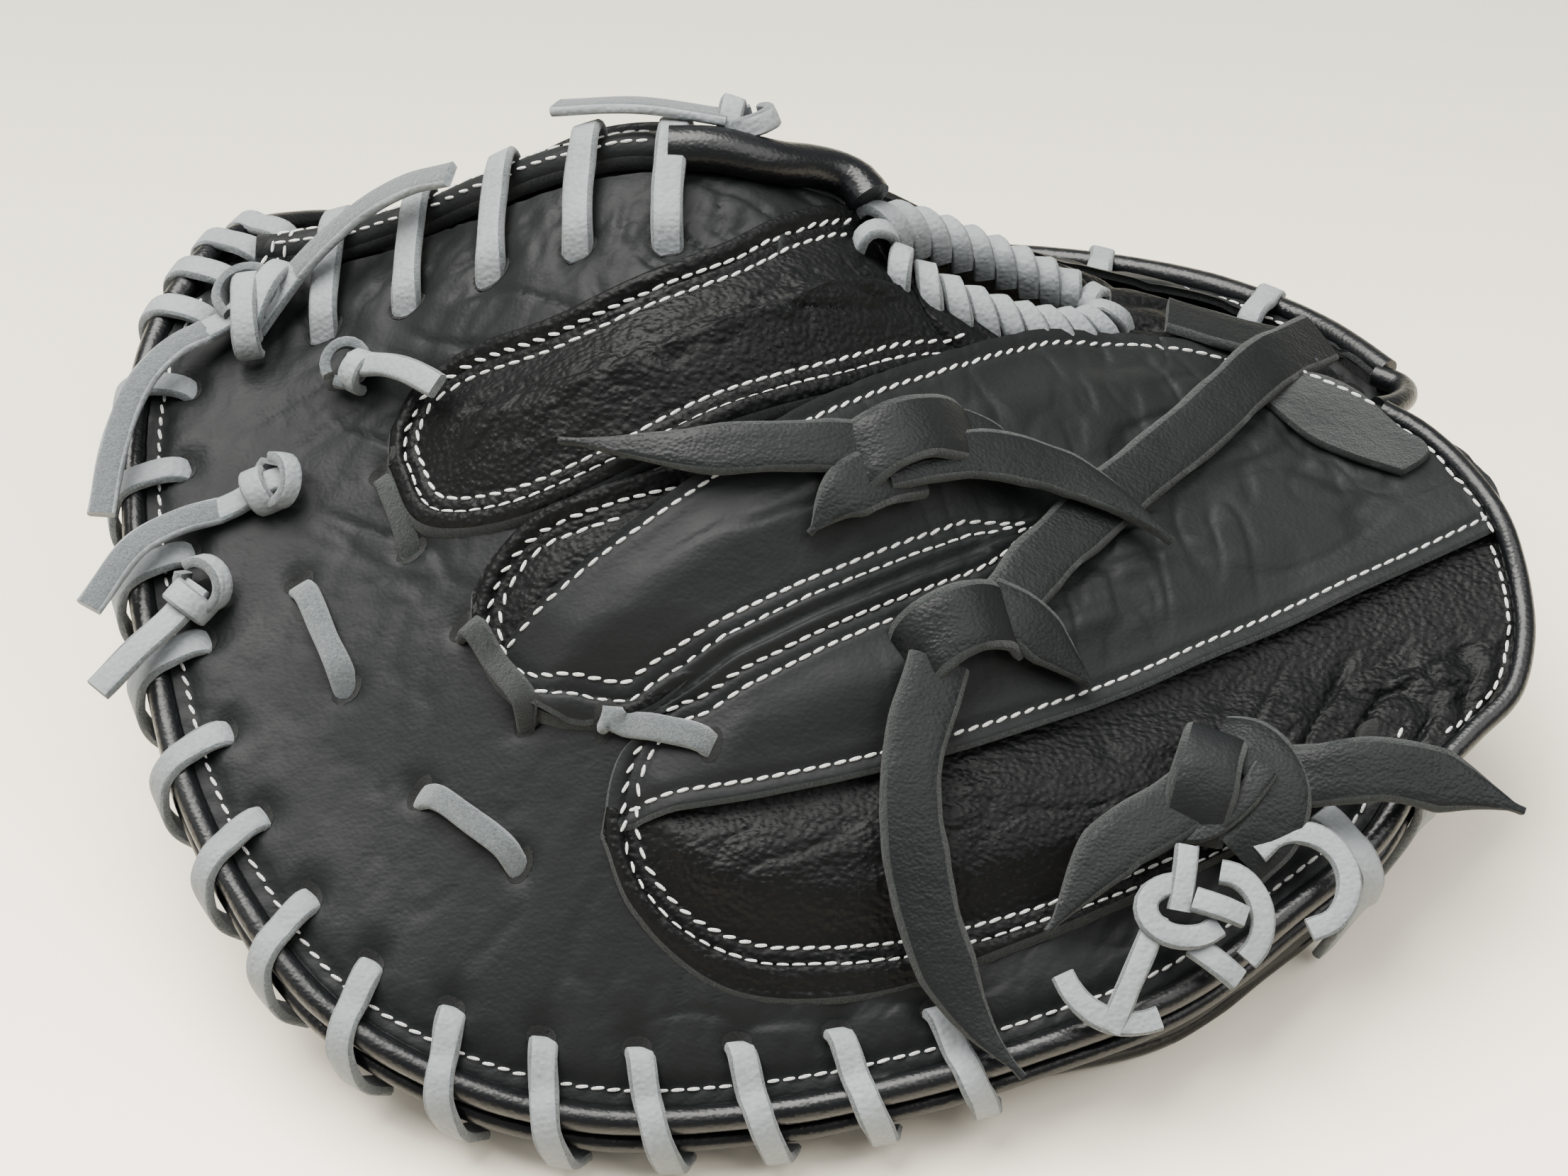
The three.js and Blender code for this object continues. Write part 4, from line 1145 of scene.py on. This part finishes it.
def rim_loops(side, path, loops, slant_at, body):
    """Loops that leave a hole in the back, cross the welts and go in under the palm."""
    parts, holes = [], []
    for k, t in enumerate(loops):
        p, along, out = rim_frame(path, np.array(t))
        slant = slant_at(t)
        depth = float(rim_depth(p[0], p[1]))
        points = []
        for o, dz, s in LOOP + [(1.4, 4 - depth, 1)]:
            q = p + out * o + along * slant * s
            base = back(q[0], q[1]) if o < 0 else back(*(q - out * o))
            level = float(base) + CRESCENT_TOP + dz
            points.append((q[0], q[1], max(level, REST_Z + 2.4)))
        side_dir = np.array([along[0], along[1], 0.0])
        outward = np.array([out[0], out[1], 0.6])
        normals = np.cross(side_dir, np.gradient(np.array(points), axis=0))
        normals *= 1 if normals[4] @ outward > 0 else -1
        normals /= np.linalg.norm(normals, axis=1, keepdims=True)
        parts.append(ribbon_mesh(points, normals, LACE_W, LACE_T, k)[:3])
        # Each loop's hole gets a matte dark patch: painted shade for the inside of the hole.
        holes.append(hole_shade_patch(*(p - 8.6 * out), along))
    obj = merged(f"rim_lace_{side}_loops", parts, LACE_MATS, body=body, slot="grey_lace")
    dark = merged(f"rim_hole_shade_{side}", holes, [LINING], body=body, slot="smooth_leather")
    if side == "corner":
        across_fold(obj)
        across_fold(dark)
    else:
        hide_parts(f"rim_lace_{side}")


rim_loops("fingers", NEAR_RIM, NEAR_LOOPS, lambda t: 5 if t < 0.1 else (-9 if t < 0.88 else -2),
          FINGERS)
rim_loops("thumb", FAR_RIM, FAR_LOOPS, lambda t: 9, THUMB)
rim_loops("corner", CORNER_RIM, [0.2, 0.46, 0.72], lambda t: -2, None)

# Matte dark patches over the ridge, tie and knot holes: painted shade for the holes' insides.
hole_shade_parts = []
for i, a in enumerate(RIDGE_X):
    r = ridge_y(a)
    lace = on_back([(a, r - 19.5, -6.4), (a, r - 18, -2.6), (a, r - 15.5, 0.6), (a, r - 9, 1.6),
                    (a + 0.4, r - 2, 2.6), (a + 1, r + 4, 4.8), (a + 1.4, r + 9, 4.4),
                    (a + 1.8, r + 13, 1.6), (a + 2, r + 15, -3.5)])
    obj, _ = ribbon(f"ridge_lace_{i + 1}_loop", lace, arched_normals(lace), LACE_W + 0.6, LACE_T,
                    LACE_MATS, 10 + i, slot="grey_lace")
    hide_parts(f"ridge_lace_{i + 1}")
    hole_shade_parts.append(hole_shade_patch(a, r - 18, (1, 0), (4.2, 2.6)))


def tie(name, ends, mats, lift, seed, node=None):
    """A short lace that comes up through one hole and goes down through another."""
    (ax, ay), (bx, by) = ends
    points = []
    for s, dz in ((-0.03, -3.4), (0.05, lift - 0.6), (0.16, lift + 0.6), (0.5, lift + 1),
                  (0.84, lift + 0.6), (0.95, lift - 0.6), (1.03, -3.4)):
        px, py = lerp(ax, bx, s), lerp(ay, by, s)
        points.append((px, py, drop(px, py)[0] + dz + 1))
    obj, _ = ribbon(name, points, arched_normals(points), LACE_W - 0.6, LACE_T, mats, seed,
                    slot="grey_lace")
    if node:
        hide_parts(node)
    for px, py in ends:
        hole_shade_parts.append(hole_shade_patch(px, py, (by - ay, ax - bx), (3.4, 2.2)))


for i, ends in enumerate(TIES):
    tie(f"crescent_tie_{i + 1}_lace", ends, [LACE_SUEDE, LACE_SUEDE], 0.2, 20 + i,
        f"crescent_tie_{i + 1}")
for i, ends in enumerate(DARK_TIES):
    tie(f"inner_tie_{i + 1}_lace", ends, [DARK_SUEDE, DARK_SUEDE], -0.6, 25 + i)


# One whip turn round the rim of the finger hole: outward, up and along the rim.
WHIP = [(6.6, -2.4, 2.6), (5.6, 1.2, 2.1), (3, 3, 1), (0, 3, 0), (-1.8, 1, -0.7),
        (-2.2, -3, -1.2), (-1.6, -6, -1.6)]


def hole_lacing():
    """Whip lacing round the finger hole, each turn slanted over the raw edge."""
    rim = Path(np.column_stack(hole_rim(np.linspace(0, 1, 97)[:-1])), closed=True, steps=2)
    parts, count = [], 21
    for k in range(count):
        t = (k + 0.5) / count
        c = rim.at(t)
        ahead = rim.at((t + 0.01) % 1) - rim.at((t - 0.01) % 1)
        ahead /= np.linalg.norm(ahead)
        out = np.array([ahead[1], -ahead[0]])
        points, normals = [], []
        for o, z, w in WHIP:
            q = c + out * o + ahead * w
            points.append((q[0], q[1], float(back(q[0], q[1])) + z))
            n = np.array([*(out * (o - 2)), z + 0.5])
            normals.append(n / max(np.linalg.norm(n), 1e-9))
        parts.append(ribbon_mesh(points, normals, LACE_W - 0.9, LACE_T, 40 + k)[:3])
    obj = merged("finger_hole_whip_lacing", parts, LACE_MATS, slot="grey_lace")
    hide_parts("finger_hole_lacing")


hole_lacing()


# ---------- Knots and the rest ----------
def local_frame(x, y, turn):
    n = back_normal(x, y)
    a = np.array([math.cos(turn), math.sin(turn), 0.0])
    a -= n * (a @ n)
    a /= np.linalg.norm(a)
    return a, np.cross(n, a), n


def turn_of_lace(base, u, v, across, radius, start, end, width, seed):
    """Part of a ring of lace in the plane of u and v, standing on edge along across."""
    points, normals = [], []
    for a in np.radians(np.linspace(start, end, 15)):
        r = radius[0] * math.cos(a) * u + radius[1] * math.sin(a) * v
        points.append(base + r + across * 0.8 * math.sin(a))
        normals.append(r / np.linalg.norm(r))
    return ribbon_mesh(points, normals, width, LACE_T, seed)[:3]


def knot(node, x, y, lift, turn, scale, seed, link=()):
    """A lace's stopper knot: a turn behind, a band over the tail, and a link to a free end."""
    a, b, n = local_frame(x, y, turn)
    base = np.array([x, y, float(back(x, y)) + lift])
    lean = (n + 0.9 * a) / math.sqrt(1.81)
    flat = np.cross(b, lean)
    parts = [
        turn_of_lace(base - a * 2.2 * scale, b, flat, lean, (4.8 * scale, 4.4 * scale), -160, 175,
                     LACE_W * 0.8, seed),
        turn_of_lace(base + a * 1.6 * scale - n * 1.5, b, n, a, (3.9 * scale, 4.1 * scale), -35,
                     215, LACE_W * 0.9, seed + 1)]
    if link:
        route = [base - a * 4 * scale - n * 0.6, base + n * 0.4] + [np.array(q) for q in
                                                                  on_back(link)]
        parts.append(ribbon_mesh(route, n, LACE_W * 0.95, LACE_T, seed + 2)[:3])
    obj = merged(node + "_lace", parts, LACE_MATS, slot="grey_lace")
    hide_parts(node)
    hole_shade_parts.append(hole_shade_patch(x - 4 * a[0], y - 4 * a[1], (1, 0), (4, 3)))


knot("knot_index", -91, 33, 3.2, math.radians(-36), 0.95, 60)
knot("knot_fingertip", -108, 10, 3.4, math.radians(198), 1.05, 63,
     [(-114, 8.4, 1.6), (-118.4, 6.8, 1.5)])
knot("knot_ring_tip", -122, -12, 3.2, math.radians(230), 1.1, 66)
knot("knot_ridge", -9, 69, 8, math.radians(172), 1.05, 69)


def web_knot():
    """The big knot at the web corner: a tall band in front of a wide loop."""
    a, b, n = local_frame(-115, 53, 0.05)
    base = np.array([-115, 53, float(back(-115, 53)) + 3])
    parts = [turn_of_lace(base, b, n, a, (9.5, 6.5), -25, 205, LACE_W, 81),
             turn_of_lace(base + a * 4 + b * 3, (b + 0.5 * a) / 1.118, n, (a - 0.5 * b) / 1.118,
                          (9, 5.5), -10, 190, LACE_W, 82),
             turn_of_lace(base + b * 4 + n * 1.5, a, b, n, (6.5, 6), -60, 230, LACE_W, 83)]
    for k, link in enumerate(([(-114, 50, 2), (-109, 56, 4), (-104.8, 60.2, 6.1)],
                              [(-116, 56, 3.4), (-120, 52, 3.6), (-124.4, 48.6, 4.6)])):
        parts.append(ribbon_mesh(on_back(link), n, LACE_W, LACE_T, 84 + k)[:3])
    obj = merged("knot_web_lace", parts, [LACE, LACE_SUEDE], slot="grey_lace")
    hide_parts("knot_web")


web_knot()

# The heel lacing, tied over the rim beside the lower strap knot: its strands in plan, and how far
# each one stands above the lace under it.
HEEL_LACE_LEVEL, STRAND_HUMP = 6.0, 1.2
HEEL_STRANDS = [(line((80, -66), (78, -78)), 3.6), (line((81, -76), (91, -79)), 5),
                (arc((79, -78), (8, 5), 75, 330), 3.4), (line((74, -79), (64, -100)), 2.4),
                (arc((68, -86), (14, 12.5), 200, 295), 1.4), (line((81, -84), (90, -90)), 1.6),
                (arc((87, -79), (8, 9), 90, -55), 2.2), (arc((103, -71), (10, 9.5), 145, -80), 1.4)]
strands = []
for k, (strand, lift) in enumerate(HEEL_STRANDS):
    face = np.array([back_normal(px, py) for px, py in strand])
    rise = lift + STRAND_HUMP * np.sin(np.pi * np.linspace(0, 1, len(strand)))
    level = np.array(on_back([(px, py, HEEL_LACE_LEVEL) for px, py in strand]))
    strands.append(ribbon_mesh(level + rise[:, None] * face, face, LACE_W * 0.84, LACE_T,
                               70 + k)[:3])
heel = merged("knot_heel_lace", strands, LACE_MATS, slot="grey_lace")
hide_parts("knot_heel")


def strap_knot(node, bands, seed):
    """A tied strap: wide bands that hump over each other, each as a route, a width and a point."""
    parts = []
    for k, (route, width, pointed) in enumerate(bands):
        points = on_back(route)
        parts.append(ribbon_mesh(points, arched_normals(points), width, STRAP_T, seed + k,
                                 pointed)[:3])
    obj = merged(node + "_leather", parts, STRAP_MATS, slot="black_strap")
    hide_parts(node)


strap_knot("strap_knot_upper", [
    ([(12, -8, 5.5), (15, -6.5, 10), (20, -3.5, 13.5), (27, 0.5, 15), (34, 4, 13), (38, 6, 8.5),
      (38.5, 6, 5)], 14, 0),
    ([(27, -4, 9), (19, -9, 10.5), (11, -15, 10), (5, -21, 7)], 13, 12),
    ([(36, 9, 8), (42, 8, 8.5), (47, 6, 7)], 8, 5)], 90)
strap_knot("strap_knot_middle", [
    ([(25.5, -39, 5.5), (28, -37.5, 10.5), (33, -35, 13.5), (39, -32, 14), (44, -29.5, 11),
      (46, -28.5, 6)], 15, 0),
    ([(41, -27, 10), (48, -29, 11), (54, -32, 9.5), (62, -36, 6.5)], 12, 13)], 94)
strap_knot("strap_knot_lower", [
    ([(88, -43, 5), (87.5, -45, 10), (86, -50, 13.5), (84, -57, 13), (82, -62, 8.5),
      (81.5, -63, 5)], 14, 0),
    ([(88, -44, 8), (95, -47, 10.5), (100, -54, 10.5), (98, -62, 8.5), (92, -67, 6)], 13, 0),
    ([(68, -60, 6), (75, -62.5, 7), (84, -63, 9), (92, -58, 11), (97, -52, 12)], 5.5, 0)], 98)


def laid(name, node, route, width, thick, mats, slot, seed, pointed=0.0):
    points = on_back(route)
    obj, _ = ribbon(name, points, arched_normals(points), width, thick, mats, seed, pointed,
                    slot=slot)
    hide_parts(node)


laid("lace_end_index_lace", "lace_end_index",
     [(-92, 33.5, 3.6), (-87, 30.5, 5), (-82, 26.5, 7), (-76, 21, 8.4), (-71, 16, 8.4)], LACE_W - 0.5,
     LACE_T, LACE_MATS, "grey_lace", 1)
laid("lace_end_ring_tip_lace", "lace_end_ring_tip",
     [(-121, -11, 3.6), (-126, -17.5, 4.2), (-133, -26, 6.4), (-140, -34, 7)], LACE_W, LACE_T,
     LACE_MATS, "grey_lace", 2)
laid("lace_end_ridge_lace", "lace_end_ridge", [(-12, 67, 8), (-30, 69, 8.4), (-48, 75, 10.6)],
     LACE_W, LACE_T, [LACE_SUEDE, LACE], "grey_lace", 3)
laid("strap_end_upper_left_strap", "strap_end_upper_left",
     [(22, -3, 9), (12, -5, 10), (2, -7, 9.5), (-20, -9, 7.5), (-45, -4, 7.2)], STRAP_W - 2,
     STRAP_T, STRAP_MATS, "black_strap", 4, 34)
laid("strap_end_upper_right_strap", "strap_end_upper_right",
     [(20, -7, 10.5), (30, -2.5, 11.5), (43, 2, 12.5), (57, 3, 12.6), (68, 0, 13), (80, -6, 12.2)],
     STRAP_W - 2, STRAP_T, STRAP_MATS, "black_strap", 5, 26)
laid("strap_end_lower_left_strap", "strap_end_lower_left",
     [(84, -55, 9.5), (78, -60, 9.5), (66, -68, 9.5), (52, -84, 8)], STRAP_W, STRAP_T,
     STRAP_MATS, "black_strap", 6, 20)
laid("wrist_strap_leather", "wrist_strap", [(118, 62, 6), (104, 46, 9.5), (88, 26, 9),
                                            (68, 4, 8.5), (52, -15, 8.5), (44, -27, 9)],
     STRAP_W, STRAP_T, STRAP_MATS, "black_strap", 7)
laid("thumb_strap_leather", "thumb_strap", [(84, 63, 4.6), (100, 60, 5), (117, 57.5, 5.5)],
     STRAP_W, STRAP_T, STRAP_MATS, "black_strap", 8)
lower_right = [(100, -51, 51), (107, -52, 53), (120, -51, 54), (136, -52, 50), (150, -55, 45)]
obj, _ = ribbon("strap_end_lower_right_strap", lower_right, (0.1, -0.5, 0.85), STRAP_W, STRAP_T,
                STRAP_MATS, 9, 18, slot="black_strap")
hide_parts("strap_end_lower_right")


def flap():
    low = Path([[102, 40], [110, 32], [120, 26], [132, 23]])
    high = Path([[106, 46], [115, 48], [124, 44], [134, 34]])
    x, y, u, v = between(low, high, 50, 26)
    x = x + 5 * np.sin(np.pi * v) * u ** 4
    z = surface(x, y, 7.2) + 0.9 * noise(x, y, 9, 95) - 1.5 * u ** 3
    skin("wrist_flap_suede", "wrist_flap", x, y, z, z - 2.2, [DARK_SUEDE, DARK_SUEDE], slot="suede")


flap()
WRIST_EDGE = [(130, 42, 3), (138, 36, 3), (146, 26, 3), (152.5, 13, 3), (155.5, -2, 0),
              (155, -14, 0), (151, -26, 0), (143, -34, 0), (137, -40, 0)]
binding = tube("wrist_binding_piping", on_back(WRIST_EDGE), 2.4, PIPING, 14, wobble=0.06,
               slot="piping")
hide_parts("wrist_binding")
wrist_turn = tube("thumb_wrist_piping", on_back([(132, 62, -3.8), (137, 58, -3.4), (137, 52, -1.5),
                                                 (133, 46, 1), (129, 43, 2.6)]), 2.6, PIPING, 14,
                  wobble=0.05, body=None, slot="piping")
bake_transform(wrist_turn)
roll = tube("ridge_roll_piping", on_back([(-24, 60.6, 1.6), (-14, 60.4, 2.6), (-5.5, 60.2, 2.8),
                                          (0, 61.4, 2.9), (6, 64.2, 3.3), (12, 65.3, 4),
                                          (16, 63, 4.6), (18, 60, 4)]), 4.8, PIPING, 18,
            wobble=0.05, slot="piping")
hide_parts("ridge_roll")
# All those hole patches as one mesh: painted shade for the insides of the punched holes.
merged("hole_shade_patches", hole_shade_parts, [LINING], slot="smooth_leather")


# ---------- Stitching ----------
def capsule():
    verts, faces, rings, sides = [], [], 5, 6
    for i in range(rings):
        a = math.pi * i / (rings - 1)
        for j in range(sides):
            b = 2 * math.pi * j / sides
            r = max(math.sin(a), 0.25) ** 0.6
            verts.append((-math.cos(a), r * math.cos(b), r * math.sin(b)))
    faces += ring_faces(rings, sides)
    faces += [tuple(range(sides))[::-1], tuple((rings - 1) * sides + j for j in range(sides))]
    return np.array(verts), faces


CAPSULE, CAPSULE_FACES = capsule()
PITCH, STITCH_LENGTH, THREAD_R = 3.15, 2.45, 0.4


STITCH_SLANT = 0.12


def stitch_row(path, start=0.0, end=1.0):
    """Vertices and faces of the stitches along a plan path, laid on the leather below."""
    count = int(path.length * (end - start) / PITCH)
    t = (np.arange(count) + 0.5) / count * (end - start) + start
    p, tan = path.at(t), path.tangent(t)
    verts, faces = [], []
    for k in range(count):
        z, n = drop(p[k, 0], p[k, 1])
        a = STITCH_SLANT + 0.06 * math.sin(k * 12.9)
        d = np.array([tan[k, 0] * math.cos(a) - tan[k, 1] * math.sin(a),
                      tan[k, 0] * math.sin(a) + tan[k, 1] * math.cos(a), 0])
        d -= n * (d @ n)
        d /= np.linalg.norm(d)
        s = np.cross(n, d)
        centre = np.array([p[k, 0], p[k, 1], z]) + n * 0.12
        half = STITCH_LENGTH / 2 * (1 + 0.06 * math.sin(k * 7.7))
        pts = centre + (CAPSULE[:, :1] * half * d + CAPSULE[:, 1:2] * THREAD_R * s
                        + CAPSULE[:, 2:] * THREAD_R * n)
        faces += [tuple(i + len(verts) for i in f) for f in CAPSULE_FACES]
        verts += list(pts)
    return np.array(verts), faces, [0] * len(faces)


def stitching(name, rows, slot, body=FINGERS):
    parts = [row for row in rows if len(row[0])]
    return merged(name, parts, [THREAD], body=body, slot=slot)


def inside_row(edge, distance, start, end):
    """A row inside a U-shaped edge, which runs with its inside on the right."""
    return stitch_row(offset(edge, -distance, 200), start, end)


stitching("index_stall_stitching", [inside_row(INDEX_EDGE, ROW_1, 0.03, 0.95),
                                    inside_row(INDEX_EDGE, ROW_2, 0.03, 0.95)], "grain_leather")
stitching("middle_stall_stitching", [
    stitch_row(MIDDLE_TOP_ROW), stitch_row(MIDDLE_LOW_ROW),
    stitch_row(offset(joined(MIDDLE_TOP_ROW, MIDDLE_LOW_ROW), 2.8, 200, taper_end=16), 0.07)],
    "grain_leather")
stitching("little_stall_stitching", [
    stitch_row(LITTLE_TOP_ROW), stitch_row(LITTLE_LOW_ROW),
    stitch_row(offset(joined(LITTLE_TOP_ROW, LITTLE_LOW_ROW), 2.8, 200, taper_start=16))],
    "grain_leather")
wrist_row = Path([(131, 38.5), (137, 33.5), (143.5, 24.5), (149.6, 12.5), (152.2, -2),
                  (151.8, -13), (148.2, -23.5), (141.5, -31), (136, -36)])
stitching("overlay_stitching", [stitch_row(OVERLAY_TOP_ROW), stitch_row(OVERLAY_LOW_ROW),
                                stitch_row(wrist_row)], "smooth_leather")
web_row = Path([(-114, 65), (-109.5, 73), (-106, 82)])
web_stitches = stitching("web_stitching", [stitch_row(web_row), stitch_row(offset(web_row, 3))],
                         "grain_leather", None)
across_fold(web_stitches)
rim_row = Path(np.vstack([NEAR_RIM.at(t) for t in np.linspace(0, 0.98, 160)]), steps=2)
stitching("rim_stitching", [stitch_row(offset(rim_row, -2.6, 220))], "smooth_leather")
band = Path([(x, ridge_y(x) + 4.6) for x in np.linspace(-112, -28, 12)])
stitching("ridge_band_stitching", [stitch_row(band), stitch_row(offset(band, 3.2))],
          "smooth_leather")
far_row = Path(np.vstack([FAR_RIM.at(t) for t in np.linspace(0.02, 0.93, 120)]), steps=2)
stitching("thumb_stitching", [stitch_row(offset(far_row, 2.6, 160)),
                              inside_row(THUMB_EDGE, 4.4, 0.03, 0.43),
                              inside_row(THUMB_EDGE, 4.4, 0.57, 0.97),
                              inside_row(THUMB_EDGE, 7.0, 0.05, 0.4),
                              inside_row(THUMB_EDGE, 7.0, 0.6, 0.95)], "smooth_leather", THUMB)

# ---------- Floor and light ----------
floor_mat = Shader("floor_painted_falloff")
split = floor_mat.t.nodes.new("ShaderNodeSeparateXYZ")
floor_mat.link(floor_mat.coord.outputs["Object"], split.inputs["Vector"])
# The floor's colour is painted from warm pale near the camera to dim at the back: painted shade for
# the light falling off.
depth = floor_mat.remap(split.outputs["Y"], 0, 1, -0.12, 0.26)
floor_mat.link(floor_mat.ramp(depth, [(0, (0.97, 0.88, 0.72)), (1, (0.37, 0.355, 0.285))]),
               floor_mat.bsdf.inputs["Base Color"])
floor_mat.bsdf.inputs["Roughness"].default_value = 0.75
floor_mesh = bpy.data.meshes.new("floor")
floor_mesh.from_pydata([(-4, -4, 0), (4, -4, 0), (4, 4, 0), (-4, 4, 0)], [], [(0, 1, 2, 3)])
floor_mesh.materials.append(floor_mat.m)
floor = bpy.data.objects.new("floor", floor_mesh)
bpy.context.scene.collection.objects.link(floor)


def area_light(name, place, size, power, colour=(1, 1, 1)):
    data = bpy.data.lights.new(name, "AREA")
    data.energy, data.size, data.color = power, size, colour
    light = bpy.data.objects.new(name, data)
    bpy.context.scene.collection.objects.link(light)
    light.location = place
    light.rotation_euler = (TARGET_V - Vector(place)).to_track_quat("-Z", "Y").to_euler()


TARGET_V = Vector(TARGET)
area_light("key_light", (-0.5, 0.45, 1.6), 1.5, 145, (1, 0.985, 0.95))
area_light("fill_light", (0.9, -0.3, 1.5), 1.4, 30, (1, 0.99, 0.97))
area_light("side_light", (-1.3, -0.4, 0.9), 1.0, 5)
world = bpy.data.worlds.new("studio")
bpy.context.scene.world = world
world.use_nodes = True
world.node_tree.nodes["Background"].inputs["Color"].default_value = (0.93, 0.94, 0.95, 1)
world.node_tree.nodes["Background"].inputs["Strength"].default_value = 0.5
